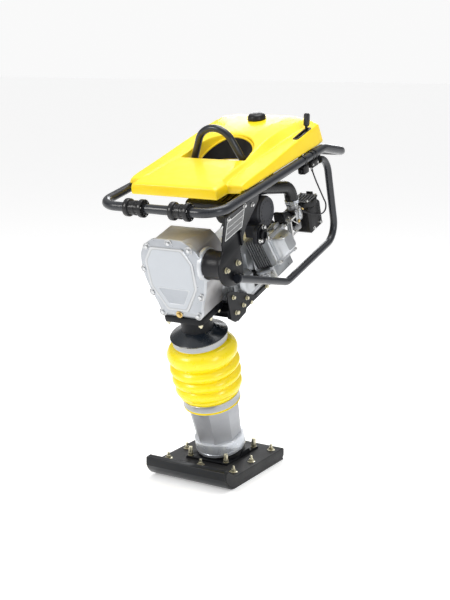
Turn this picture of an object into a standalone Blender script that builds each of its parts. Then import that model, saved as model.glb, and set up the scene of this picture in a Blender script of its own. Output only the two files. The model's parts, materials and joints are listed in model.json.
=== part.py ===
"""Jumping jack rammer: an upright soil rammer with a petrol engine, built from its separate pieces.

Metres, +Z up. The origin is the centre of the flat sole on the ground, -Y is the toe side and +X the side
that the engine's cylinder points to. Three empties carry the parts' own frames: the leg frame leans forward,
with its z axis up the leg and its y axis rearward along both shafts; the handle frame lies in the plane of
the handle's side rails; the engine frame's x axis runs along the cylinder.
"""

from math import cos, pi, radians, sin, sqrt

import bmesh
import bpy
from mathutils import Vector

# Driving dimensions
GAP = 0.0003
SOFT_EDGE = 0.0015

LEG_SIDES = 28
LEG_LEAN = radians(18.0)
LEG_FOOT = (0.0, 0.035, 0.048)
HANDLE_TILT = radians(12.3)
HANDLE_FRONT = (0.0, -0.314, 0.852)
CYLINDER_TILT = radians(19.0)

SHOE_WIDTH = 0.285
SHOE_REAR = 0.180
SOLE_FRONT = -0.118
SOLE_THICK = 0.006
TOE_RADIUS = 0.0683
TOE_ANGLE = radians(67.0)
TOE_TOP = 0.067
LIP_DEPTH = 0.022
BLOCK_TOP = 0.040

COLLAR_RADIUS = 0.078
COLLAR_LOW, COLLAR_HIGH = 0.0245, 0.070
CASTING_TOP = 0.195
RIM_TOP = 0.2222
RIM_RADIUS = 0.083
SPRING_TUBE_RADIUS = 0.0442
SPRING_TUBE_BORE = 0.0385
SPRING_TUBE_LOW, SPRING_TUBE_HIGH = 0.030, 0.376
GUIDE_RADIUS = 0.048
GUIDE_BORE = 0.0446
GUIDE_LOW = 0.262
FLANGE_LOW, FLANGE_HIGH = 0.500, 0.520

BELLOWS_FOLDS = ((0.236, 0.272, 0.1030), (0.272, 0.308, 0.1065), (0.308, 0.344, 0.1075), (0.344, 0.398, 0.1075))
BELLOWS_GROOVE = 0.0975
BELLOWS_WALL = 0.0028
CUFF_RADIUS = 0.0862
TOP_CUFF_RADIUS = 0.0805
DISC_HEIGHT = 0.4285
DISC_RADIUS = 0.0875
COLLAR_UNDER_DISC = 0.0775

COVER_FACE = -0.075
COVER_THICK = 0.015
CASE_REAR = 0.060
CASE_WALL = 0.008
BOSS_CENTRE = (-0.028, 0.685)
BOSS_RADIUS = 0.045
BOSS_FACE = 0.105
RUBBER_END = 0.166
LEFT_MOUNT = (0.100, 0.620)
LEFT_MOUNT_RADIUS = 0.034
LEFT_EAR = -0.112

GEAR_MODULE = 0.002
GEAR_TEETH = 85
PINION_TEETH = 17
GEAR_CENTRE = 0.650
SHAFT_CENTRE = GEAR_CENTRE - GEAR_MODULE * (GEAR_TEETH + PINION_TEETH) / 2
GEAR_FRONT, GEAR_BACK = 0.014, 0.032
CRANK_THROW = 0.028
ROD_LENGTH = 0.120
CRANK_PIN = 0.011
PISTON_LOW, PISTON_HIGH = 0.235, 0.262
PISTON_ROD = 0.012
PISTON_ROD_TOP = 0.484

CYLINDER_R = 0.275
TUBE = 0.0135
RAIL_X = 0.200
RAIL_REAR = 0.620
GUARD_TUBE = 0.0115
PLATE_THICK = 0.005
PLATE_X = RUBBER_END + GAP + PLATE_THICK / 2
PLATE_BEND = 0.760
PLATE_SPLAY = radians(17.5)

TANK_FLOOR = 0.005
TANK_TOP = 0.0955
FILLER_S = 0.590
LEVER_REST = radians(16)
# Cross sections of the tank: the place along the rails, then (x, height) from the middle out over the hump or
# deck, the ledge and its ridge, down to the foot of the side wall.
TANK_SECTIONS = (
    (0.090, ((0, 0.040), (0.134, 0.040), (0.1445, 0.034), (0.1455, 0.020), (0.146, 0.005))),
    (0.149, ((0, 0.044), (0.132, 0.044), (0.1445, 0.034), (0.1455, 0.022), (0.146, 0.005))),
    (0.151, ((0, 0.044), (0.132, 0.044), (0.150, 0.034), (0.192, 0.031), (0.198, 0.0145))),
    (0.305, ((0, 0.053), (0.118, 0.053), (0.138, 0.047), (0.192, 0.044), (0.199, 0.0145))),
    (0.360, ((0, 0.066), (0.114, 0.062), (0.132, 0.051), (0.192, 0.049), (0.199, 0.0145))),
    (0.450, ((0, 0.088), (0.106, 0.080), (0.132, 0.059), (0.191, 0.057), (0.199, 0.0145))),
    (0.550, ((0, TANK_TOP), (0.108, 0.089), (0.135, 0.068), (0.190, 0.066), (0.198, 0.0145))),
    (0.635, ((0, TANK_TOP), (0.112, 0.090), (0.140, 0.074), (0.188, 0.071), (0.197, 0.0145))),
    (0.662, ((0, 0.086), (0.108, 0.080), (0.136, 0.064), (0.180, 0.060), (0.190, 0.0145))),
)

COLOURS = {
    "shoe_rubber": ((0.035, 0.036, 0.038), 0.75, 0.0),
    "black_steel": ((0.020, 0.021, 0.023), 0.35, 0.3),
    "charcoal_steel": ((0.055, 0.062, 0.072), 0.30, 0.5),
    "bright_steel": ((0.60, 0.61, 0.62), 0.22, 1.0),
    "cast_silver": ((0.52, 0.53, 0.54), 0.42, 0.8),
    "yellow_plastic": ((0.90, 0.68, 0.03), 0.38, 0.0),
    "yellow_rubber": ((0.92, 0.72, 0.02), 0.45, 0.0),
    "black_rubber": ((0.018, 0.018, 0.020), 0.60, 0.0),
    "black_plastic": ((0.022, 0.022, 0.024), 0.45, 0.0),
    "gear_steel": ((0.40, 0.41, 0.42), 0.35, 1.0),
    "brass": ((0.60, 0.42, 0.16), 0.35, 1.0),
    "label": ((0.55, 0.56, 0.56), 0.40, 0.6),
}

parts = None
tools = None


# Scene and object helpers


def clear_scene():
    for obj in list(bpy.data.objects):
        bpy.data.objects.remove(obj, do_unlink=True)


def new_collection(name):
    collection = bpy.data.collections.new(name)
    bpy.context.scene.collection.children.link(collection)
    return collection


def empty(name, place, turn=(0, 0, 0), parent=None):
    obj = bpy.data.objects.new(name, None)
    obj.location = place
    obj.rotation_euler = turn
    obj.parent = parent
    parts.objects.link(obj)
    return obj


def material(name):
    found = bpy.data.materials.get(name)
    if found:
        return found
    colour, roughness, metallic = COLOURS[name]
    made = bpy.data.materials.new(name)
    made.use_nodes = True
    shader = made.node_tree.nodes["Principled BSDF"]
    shader.inputs["Base Color"].default_value = (*colour, 1.0)
    shader.inputs["Roughness"].default_value = roughness
    shader.inputs["Metallic"].default_value = metallic
    return made


def add_object(name, data, frame, place, turn, finish):
    """Links a new object into its frame. Without a finish it is a hidden modelling tool, not a part."""
    obj = bpy.data.objects.new(name, data)
    obj.parent = frame
    obj.location = place
    obj.rotation_euler = turn
    if finish:
        data.materials.append(material(finish))
        parts.objects.link(obj)
    else:
        obj.hide_render = True
        obj.display_type = "WIRE"
        tools.objects.link(obj)
    return obj


def smooth(obj, angle=35):
    obj.data.shade_smooth()
    obj.data.set_sharp_from_angle(angle=radians(angle))
    return obj


AXIS_TURN = {"x": (0, pi / 2, 0), "y": (-pi / 2, 0, 0), "z": (0, 0, 0)}


def box(name, frame, low, high, finish=None, edge=0.0, turn=(0, 0, 0), pivot=None):
    """A box between two corners of its frame, turned about the pivot if one is given."""
    low, high = Vector(low), Vector(high)
    pivot = Vector(pivot) if pivot is not None else (low + high) / 2
    mesh = bpy.data.meshes.new(name)
    bm = bmesh.new()
    bmesh.ops.create_cube(bm, size=1.0)
    for vertex in bm.verts:
        vertex.co = Vector(a * b for a, b in zip(vertex.co, high - low)) + (low + high) / 2 - pivot
    bm.to_mesh(mesh)
    bm.free()
    obj = add_object(name, mesh, frame, pivot, turn, finish)
    if edge:
        bevel(obj, edge)
    return obj


def bevel(obj, width, segments=1):
    modifier = obj.modifiers.new("edges", "BEVEL")
    modifier.width = width
    modifier.segments = segments
    modifier.limit_method = "ANGLE"
    modifier.angle_limit = radians(30)


def cylinder(name, frame, centre, axis, radius, length, finish=None, sides=24, radius_end=None, turn=None):
    """A cylinder or cone about its centre, along the frame's x, y or z axis."""
    mesh = bpy.data.meshes.new(name)
    bm = bmesh.new()
    end = radius if radius_end is None else radius_end
    bmesh.ops.create_cone(bm, cap_ends=True, segments=sides, radius1=radius, radius2=end, depth=length)
    bm.to_mesh(mesh)
    bm.free()
    obj = add_object(name, mesh, frame, centre, turn or AXIS_TURN[axis], finish)
    return smooth(obj)


def turned(name, frame, profile, finish=None, centre=(0, 0, 0), axis="z", sides=LEG_SIDES):
    """A closed profile of (radius, height) points, outer side first from top to bottom, turned about the axis."""
    mesh = bpy.data.meshes.new(name)
    bm = bmesh.new()
    ring = [bm.verts.new((radius, 0, height)) for radius, height in profile]
    closed = profile[0][0] > 0 and profile[-1][0] > 0
    count = len(ring) if closed else len(ring) - 1
    for index in range(count):
        bm.edges.new((ring[index], ring[(index + 1) % len(ring)]))
    bm.to_mesh(mesh)
    bm.free()
    obj = add_object(name, mesh, frame, centre, AXIS_TURN[axis], finish)
    screw = obj.modifiers.new("turn", "SCREW")
    screw.axis = "Z"
    screw.steps = screw.render_steps = sides
    screw.use_merge_vertices = True
    screw.merge_threshold = 0.00002
    screw.use_smooth_shade = True
    return obj


def ring(name, frame, outer, inner, low, high, finish=None, centre=(0, 0, 0), axis="z", sides=LEG_SIDES):
    profile = ((outer, high), (outer, low), (inner, low), (inner, high))
    return turned(name, frame, profile, finish, centre, axis, sides)


PLANE_TURN = {"xz": (pi / 2, 0, 0), "yz": (pi / 2, 0, pi / 2), "xy": (0, 0, 0)}


def outline(name, frame, loops, plane, centre, thickness, finish=None, turn=None):
    """A flat outline with optional holes in the frame's xz, yz or xy plane, thickened about its centre."""
    curve = bpy.data.curves.new(name, "CURVE")
    curve.dimensions = "2D"
    curve.fill_mode = "BOTH"
    curve.extrude = thickness / 2
    for loop in loops:
        spline = curve.splines.new("POLY")
        spline.points.add(len(loop) - 1)
        spline.use_cyclic_u = True
        for point, (a, b) in zip(spline.points, loop):
            point.co = (a, b, 0, 1)
    obj = add_object(name, curve, frame, centre, turn or PLANE_TURN[plane], finish)
    return as_mesh(obj)


def rounded_path(points, radius, steps=4):
    """The points of a bent tube: straight runs with an arc of the given radius at every inner corner."""
    path = [Vector(points[0])]
    for before, corner, after in zip(points, points[1:], points[2:]):
        before, corner, after = Vector(before), Vector(corner), Vector(after)
        into, out = (corner - before).normalized(), (after - corner).normalized()
        angle = into.angle(out)
        reach = radius * sin(angle / 2) / cos(angle / 2)
        middle = corner + (out - into).normalized() * radius / cos(angle / 2)
        start = corner - into * reach - middle
        for step in range(steps + 1):
            turn = angle * step / steps
            spoke = start * cos(turn) + into * radius * sin(turn)
            path.append(middle + spoke)
    path.append(Vector(points[-1]))
    return path


def tube(name, frame, path, radius, finish=None, sides_level=3):
    curve = bpy.data.curves.new(name, "CURVE")
    curve.dimensions = "3D"
    curve.bevel_depth = radius
    curve.bevel_resolution = sides_level
    curve.use_fill_caps = True
    spline = curve.splines.new("POLY")
    spline.points.add(len(path) - 1)
    for point, place in zip(spline.points, path):
        point.co = (*place, 1)
    return add_object(name, curve, frame, (0, 0, 0), (0, 0, 0), finish)


def as_mesh(obj):
    """Replaces a curve object by a mesh object of the same shape, place and name, with its caps welded."""
    bpy.context.view_layer.update()
    graph = bpy.context.evaluated_depsgraph_get()
    mesh = bpy.data.meshes.new_from_object(obj.evaluated_get(graph))
    bm = bmesh.new()
    bm.from_mesh(mesh)
    bmesh.ops.remove_doubles(bm, verts=bm.verts, dist=0.00001)
    bmesh.ops.recalc_face_normals(bm, faces=bm.faces)
    bm.to_mesh(mesh)
    bm.free()
    name, hidden, frame = obj.name, obj.hide_render, obj.parent
    place, turn = obj.location.copy(), obj.rotation_euler.copy()
    finish = obj.data.materials[0].name if obj.data.materials else None
    bpy.data.objects.remove(obj, do_unlink=True)
    mesh.materials.clear()
    made = add_object(name, mesh, frame, place, turn, None if hidden else finish)
    return made


def combine(obj, others, operation):
    for other in others:
        modifier = obj.modifiers.new(operation.lower(), "BOOLEAN")
        modifier.operation = operation
        modifier.object = other
    return obj


def cut(obj, *others):
    return combine(obj, others, "DIFFERENCE")


def join(obj, *others):
    return combine(obj, others, "UNION")


def arc(centre, radius, start, end, steps):
    """Points of an arc in a plane, angles in radians."""
    angles = [start + (end - start) * step / steps for step in range(steps + 1)]
    return [(centre[0] + radius * cos(a), centre[1] + radius * sin(a)) for a in angles]


def circle(centre, radius, sides=20):
    return arc(centre, radius, 0, 2 * pi * (1 - 1 / sides), sides - 1)


def mirrored(half):
    """A closed outline from the right half of it, given from the bottom up."""
    return list(half) + [(-x, y) for x, y in reversed(half)]


def inset(loop, gap):
    """A convex outline, anticlockwise, moved inward by the gap."""
    result = []
    for index in range(len(loop)):
        before, here, after = (Vector(loop[(index + shift) % len(loop)]) for shift in (-1, 0, 1))
        into, out = (here - before).normalized(), (after - here).normalized()
        normal_in, normal_out = Vector((-into.y, into.x)), Vector((-out.y, out.x))
        middle = (normal_in + normal_out).normalized()
        result.append(tuple(here + middle * gap / middle.dot(normal_in)))
    return result


# The foot: shoe, leg casting, spring tube


def toe_arc(radius, steps=6):
    """The curl of the toe in the y-z plane, from the flat sole up and forward."""
    centre = (SOLE_FRONT, TOE_RADIUS)
    return arc(centre, radius, -pi / 2, -pi / 2 - TOE_ANGLE, steps)


def build_shoe():
    outer = toe_arc(TOE_RADIUS)
    inner = toe_arc(TOE_RADIUS - SOLE_THICK)
    face = outer[-1][0]
    inside = face + SOLE_THICK
    plate_loop = [(SHOE_REAR, 0.0), *outer, (face, TOE_TOP - 0.002), (face + 0.002, TOE_TOP)]
    plate_loop += [(face + LIP_DEPTH, TOE_TOP + 0.002), (face + LIP_DEPTH, TOE_TOP - 0.002)]
    plate_loop += [(inside, TOE_TOP - 0.0035), (inside, inner[-1][1] + 0.002), *reversed(inner)]
    plate_loop += [(SHOE_REAR, SOLE_THICK)]
    width = SHOE_WIDTH - 0.004
    outline("shoe_plate", None, [plate_loop], "yz", (0, 0, 0), width, "black_steel")

    block_inner = toe_arc(TOE_RADIUS - SOLE_THICK - GAP)
    front = inside + GAP
    block_loop = [(SHOE_REAR - 0.010, SOLE_THICK + GAP), *block_inner, (front, inner[-1][1] + 0.002)]
    block_loop += [(front, TOE_TOP - 0.0045)]
    block_loop += [(face + LIP_DEPTH, TOE_TOP - 0.003), (face + LIP_DEPTH + 0.033, BLOCK_TOP + 0.004)]
    block_loop += [(face + LIP_DEPTH + 0.045, BLOCK_TOP), (SHOE_REAR - 0.004, BLOCK_TOP)]
    block_loop += [(SHOE_REAR, BLOCK_TOP - 0.004), (SHOE_REAR, SOLE_THICK + 0.010)]
    outline("shoe_block", None, [block_loop], "yz", (0, 0, 0), SHOE_WIDTH, "shoe_rubber")


def build_leg(leg):
    top_of_plate = BLOCK_TOP + GAP + 0.006
    flange = box("leg_flange", None, (-0.074, -0.060, BLOCK_TOP + GAP), (0.074, 0.134, top_of_plate), "black_steel")
    wedge = cylinder("flange_wedge", leg, (0, 0, 0), "z", 0.074, 2 * COLLAR_LOW - 2 * GAP, sides=LEG_SIDES)
    below = box("flange_floor", None, (-0.2, -0.2, -0.1), (0.2, 0.2, BLOCK_TOP + GAP))
    join(flange, cut(wedge, below))

    collar = ((COLLAR_RADIUS - 0.004, COLLAR_HIGH), (COLLAR_RADIUS, COLLAR_HIGH - 0.006),
              (COLLAR_RADIUS, COLLAR_LOW + 0.010), (COLLAR_RADIUS - 0.004, COLLAR_LOW),
              (0.056, COLLAR_LOW), (0.056, COLLAR_HIGH))
    turned("leg_collar", leg, collar, "bright_steel")

    low, high = COLLAR_HIGH + GAP, CASTING_TOP
    middle = (low + high) / 2
    corner = 1 / cos(pi / 8)
    casting = cylinder("leg_casting", leg, (0, 0, middle), "z", 0.066 * corner, high - low, "cast_silver",
                       sides=8, radius_end=0.075 * corner, turn=(0, 0, pi / 8))
    casting.data.shade_flat()
    rim = cylinder("casting_rim", leg, (0, 0, (CASTING_TOP + RIM_TOP) / 2 - 0.001), "z", RIM_RADIUS,
                   RIM_TOP - CASTING_TOP + 0.002, sides=LEG_SIDES)
    bore = cylinder("casting_bore", leg, (0, 0, middle), "z", SPRING_TUBE_RADIUS + GAP, 0.3, sides=LEG_SIDES)
    hollow = cylinder("casting_hollow", leg, (0, 0, 0.135), "z", 0.056, 0.100, sides=LEG_SIDES)
    cut(join(casting, rim), bore, hollow)

    floor, lip = SPRING_TUBE_LOW + 0.014, SPRING_TUBE_HIGH - 0.010
    cup = ((0, floor), (SPRING_TUBE_BORE, floor), (SPRING_TUBE_BORE, lip), (PISTON_ROD + GAP, lip),
           (PISTON_ROD + GAP, SPRING_TUBE_HIGH), (SPRING_TUBE_RADIUS, SPRING_TUBE_HIGH),
           (SPRING_TUBE_RADIUS, SPRING_TUBE_LOW), (0, SPRING_TUBE_LOW))
    turned("spring_tube", leg, cup, "gear_steel")


def spring(name, leg, low, high, turns, radius=0.0295, wire=0.0042, steps=8):
    """A coil spring along the leg with a flat closing turn at each end."""
    count = turns * steps
    path = []
    for index in range(count + 1):
        share = min(max((index - steps * 0.75) / (count - steps * 1.5), 0.0), 1.0)
        angle = 2 * pi * index / steps
        lift = low + wire + GAP + index * 0.00025 + share * (high - low - 2 * wire - 2 * GAP - count * 0.00025)
        path.append((radius * cos(angle), radius * sin(angle), lift))
    tube(name, leg, path, wire, "gear_steel", 2)


def build_bellows(leg):
    outer = [(TOP_CUFF_RADIUS, 0.4262), (TOP_CUFF_RADIUS, 0.405)]
    for low, high, peak in reversed(BELLOWS_FOLDS):
        for share in (0.0, 0.22, 0.5, 0.78):
            swell = sin(pi * share) ** 0.8
            outer.append((BELLOWS_GROOVE + (peak - BELLOWS_GROOVE) * swell, high + (low - high) * share))
    outer += [(BELLOWS_GROOVE, BELLOWS_FOLDS[0][0]), (CUFF_RADIUS, 0.2262), (CUFF_RADIUS, 0.1955)]
    inner = [(radius - BELLOWS_WALL, height) for radius, height in outer]
    inner = inner[:2] + inner[2:-3:2] + inner[-3:]
    inner[-1] = (RIM_RADIUS + GAP, outer[-1][1])
    inner[-2] = (RIM_RADIUS + GAP, outer[-2][1] - 0.001)
    inner[0] = (COLLAR_UNDER_DISC + GAP, outer[0][1])
    inner[1] = (COLLAR_UNDER_DISC + GAP, outer[1][1])
    turned("bellows", leg, outer + inner[::-1], "yellow_rubber")
    ring("lower_bellows_band", leg, CUFF_RADIUS + 0.0028, CUFF_RADIUS + GAP, 0.1985, 0.2215, "cast_silver")
    ring("upper_bellows_band", leg, TOP_CUFF_RADIUS + 0.003, TOP_CUFF_RADIUS + GAP, 0.4065, 0.4255, "cast_silver")


# The percussion unit: guide tube, gearcase, gears, crank and ram


def build_guide(leg):
    disc = ((GUIDE_RADIUS + 0.004, 0.446), (DISC_RADIUS, DISC_HEIGHT + 0.003), (DISC_RADIUS, DISC_HEIGHT),
            (COLLAR_UNDER_DISC, DISC_HEIGHT), (COLLAR_UNDER_DISC, 0.404), (COLLAR_UNDER_DISC - 0.005, 0.404),
            (COLLAR_UNDER_DISC - 0.005, 0.424), (GUIDE_RADIUS + GAP, 0.424), (GUIDE_RADIUS + GAP, 0.446))
    turned("bellows_disc", leg, disc, "black_steel")
    ring("guide_tube", leg, GUIDE_RADIUS, GUIDE_BORE, GUIDE_LOW, FLANGE_LOW - GAP, "black_steel")
    half = [(0.058, -0.070), (0.069, -0.058), (0.069, 0.050), (0.060, 0.0595)]
    flange = outline("case_flange", leg, [mirrored(half), circle((0, 0), GUIDE_BORE, LEG_SIDES)], "xy",
                     (0, 0, (FLANGE_LOW + FLANGE_HIGH) / 2), FLANGE_HIGH - FLANGE_LOW, "black_steel")
    bevel(flange, SOFT_EDGE)


def case_outline():
    """The gearcase seen from the front, anticlockwise in x and up-the-leg coordinates."""
    base = FLANGE_HIGH + GAP
    right = [(0.070, base), (0.073, 0.550), (0.092, 0.600), (0.104, 0.648), (0.105, 0.690), (0.102, 0.717)]
    right += [(0.089, 0.741), (0.071, 0.757), (0.047, 0.771)]
    return mirrored(right)


def build_gearcase(leg):
    rim = case_outline()
    loop = [(x * 0.94, z if z < 0.6 else z - 0.005) for x, z in rim]
    front = COVER_FACE + COVER_THICK + GAP
    depth = CASE_REAR - front
    case = outline("gearcase", leg, [loop], "xz", (0, (front + CASE_REAR) / 2, 0), depth, "cast_silver")
    hollow_depth = depth - CASE_WALL + 0.01
    inside = [(x, min(z, 0.747)) for x, z in inset(loop, CASE_WALL)]
    hollow = outline("case_hollow", leg, [inside], "xz",
                     (0, front - 0.01 + hollow_depth / 2, 0), hollow_depth)
    ram_hole = cylinder("ram_hole", leg, (0, 0, FLANGE_HIGH), "z", GUIDE_BORE, 0.040, sides=28)
    shaft_hole = cylinder("shaft_hole", leg, (0, CASE_REAR, SHAFT_CENTRE), "y", 0.012, 0.040, sides=20)
    right_boss = cylinder("right_boss", leg, (BOSS_FACE - 0.010, *BOSS_CENTRE), "x", BOSS_RADIUS, 0.020, sides=32)
    roof = box("roof_slope", leg, (-0.2, -0.4, 0.766), (0.2, 0.4, 0.90), turn=(radians(-7), 0, 0),
               pivot=(0, front, 0.766))
    cover_room = box("cover_room", leg, (-0.2, -0.2, 0.5), (0.2, front, 0.8))
    cut(join(case, right_boss), hollow, ram_hole, shaft_hole, roof, cover_room)

    middle = COVER_FACE + COVER_THICK / 2
    cover = outline("gearcase_cover", leg, [rim], "xz", (0, middle, 0), COVER_THICK, "cast_silver")
    bevel(cover, 0.003, 2)
    face = [(x * 0.80, 0.560 + (z - 0.560) * 0.90) for x, z in inset(rim, 0.010)]
    panel = outline("raised_panel", leg, [face], "xz", (0, COVER_FACE, 0), 0.006)
    plug_hole = cylinder("plug_seat", leg, (0, COVER_FACE, 0.5345), "y", 0.0085 + GAP, 0.008, sides=16)
    cut(join(cover, panel), plug_hole)
    plug = cylinder("drain_plug", leg, (0, COVER_FACE - 0.001, 0.5345), "y", 0.0085, 0.008, "brass", 6)
    plug.data.shade_flat()

    bore_start = CASE_REAR + GAP
    ring("clutch_housing", leg, 0.062, 0.046, 0, 0.0465, "cast_silver", (0, bore_start, SHAFT_CENTRE), "y")

    rubber_length = RUBBER_END - BOSS_FACE - GAP
    right = cylinder("right_mount_rubber", leg, (BOSS_FACE + GAP + rubber_length / 2, *BOSS_CENTRE), "x",
                     BOSS_RADIUS - 0.001, rubber_length, "black_rubber", 32)
    start = LEFT_EAR - GAP
    left = cylinder("left_mount_rubber", leg, ((start - RUBBER_END) / 2, *LEFT_MOUNT), "x",
                    LEFT_MOUNT_RADIUS - 0.004, RUBBER_END + start, "black_rubber", 24)
    for rubber in (right, left):
        bevel(rubber, 0.003)


def gear_outline(teeth, pitch_radius, centre, phase):
    """Straight-flanked teeth about the pitch circle, with running clearance on every flank."""
    pitch = 2 * pi / teeth
    loop = []
    for index in range(teeth):
        middle = phase + index * pitch
        for radius, half in ((pitch_radius - 0.0026, 0.00200), (pitch_radius + 0.0016, 0.00050)):
            loop.append((radius, middle - half / radius))
        for radius, half in ((pitch_radius + 0.0016, 0.00050), (pitch_radius - 0.0026, 0.00200)):
            loop.append((radius, middle + half / radius))
    return [(centre[0] + radius * cos(angle), centre[1] + radius * sin(angle)) for radius, angle in loop]


def build_gears(leg):
    big = GEAR_MODULE * GEAR_TEETH / 2
    small = GEAR_MODULE * PINION_TEETH / 2
    middle = (GEAR_FRONT + GEAR_BACK) / 2
    thick = GEAR_BACK - GEAR_FRONT
    loop = gear_outline(GEAR_TEETH, big, (0, 0), -pi / 2)
    gear = outline("crank_gear", leg, [loop], "xz", (0, middle, GEAR_CENTRE), thick, "gear_steel")
    pin_front = -0.014
    pin = cylinder("crank_pin", leg, (0, (pin_front + middle) / 2, GEAR_CENTRE + CRANK_THROW), "y", CRANK_PIN,
                   middle - pin_front, sides=20)
    stub_end = CASE_REAR - CASE_WALL - 0.001
    stub = cylinder("gear_stub", leg, (0, (middle + stub_end) / 2, GEAR_CENTRE), "y", 0.014, stub_end - middle, sides=20)
    join(gear, pin, stub)

    pinion_loop = gear_outline(PINION_TEETH, small, (0, 0), pi / 2 + pi / PINION_TEETH)
    pinion = outline("pinion_and_drum", leg, [pinion_loop], "xz", (0, middle, SHAFT_CENTRE), thick, "gear_steel")
    drum = ((0, 0.072), (0.0385, 0.072), (0.0385, 0.094), (0.0425, 0.094), (0.0425, 0.066), (0.009, 0.066),
            (0.009, 0.020), (0, 0.020))
    drum_body = turned("clutch_drum_body", leg, drum, None, (0, 0, SHAFT_CENTRE), "y", 24)
    join(pinion, drum_body)

    rotor = cylinder("clutch_rotor", leg, (0, 0.083, SHAFT_CENTRE), "y", 0.0375, 0.018, "gear_steel", 24)
    slots = [box(f"rotor_slot_{k}", leg, (-0.003 + s * 0.017, 0.07, SHAFT_CENTRE - 0.05),
                 (0.003 + s * 0.017, 0.10, SHAFT_CENTRE + 0.05)) for k, s in enumerate((-1, 1))]
    for slot in slots:
        bridge = box(f"{slot.name}_bridge", leg, (-0.03, 0.06, SHAFT_CENTRE - 0.009), (0.03, 0.11, SHAFT_CENTRE + 0.009))
        cut(rotor, cut(slot, bridge))


def build_ram(leg):
    low_eye = GEAR_CENTRE + CRANK_THROW - ROD_LENGTH
    top, low = GEAR_CENTRE + CRANK_THROW, low_eye
    shape = arc((0, top), 0.0185, radians(-35), radians(215), 14) + arc((0, low), 0.014, radians(140), radians(400), 12)
    holes = [circle((0, top), CRANK_PIN + GAP, 20), circle((0, low), 0.0075, 14)]
    outline("connecting_rod", leg, [shape, *holes], "xz", (0, -0.002, 0), 0.018, "gear_steel")

    ram = ((0, PISTON_ROD_TOP), (PISTON_ROD, PISTON_ROD_TOP), (PISTON_ROD, PISTON_HIGH),
           (SPRING_TUBE_BORE - 0.0006, PISTON_HIGH), (SPRING_TUBE_BORE - 0.0006, PISTON_LOW), (0, PISTON_LOW))
    turned("ram_piston", leg, ram, "gear_steel", sides=28)


# The engine


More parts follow.
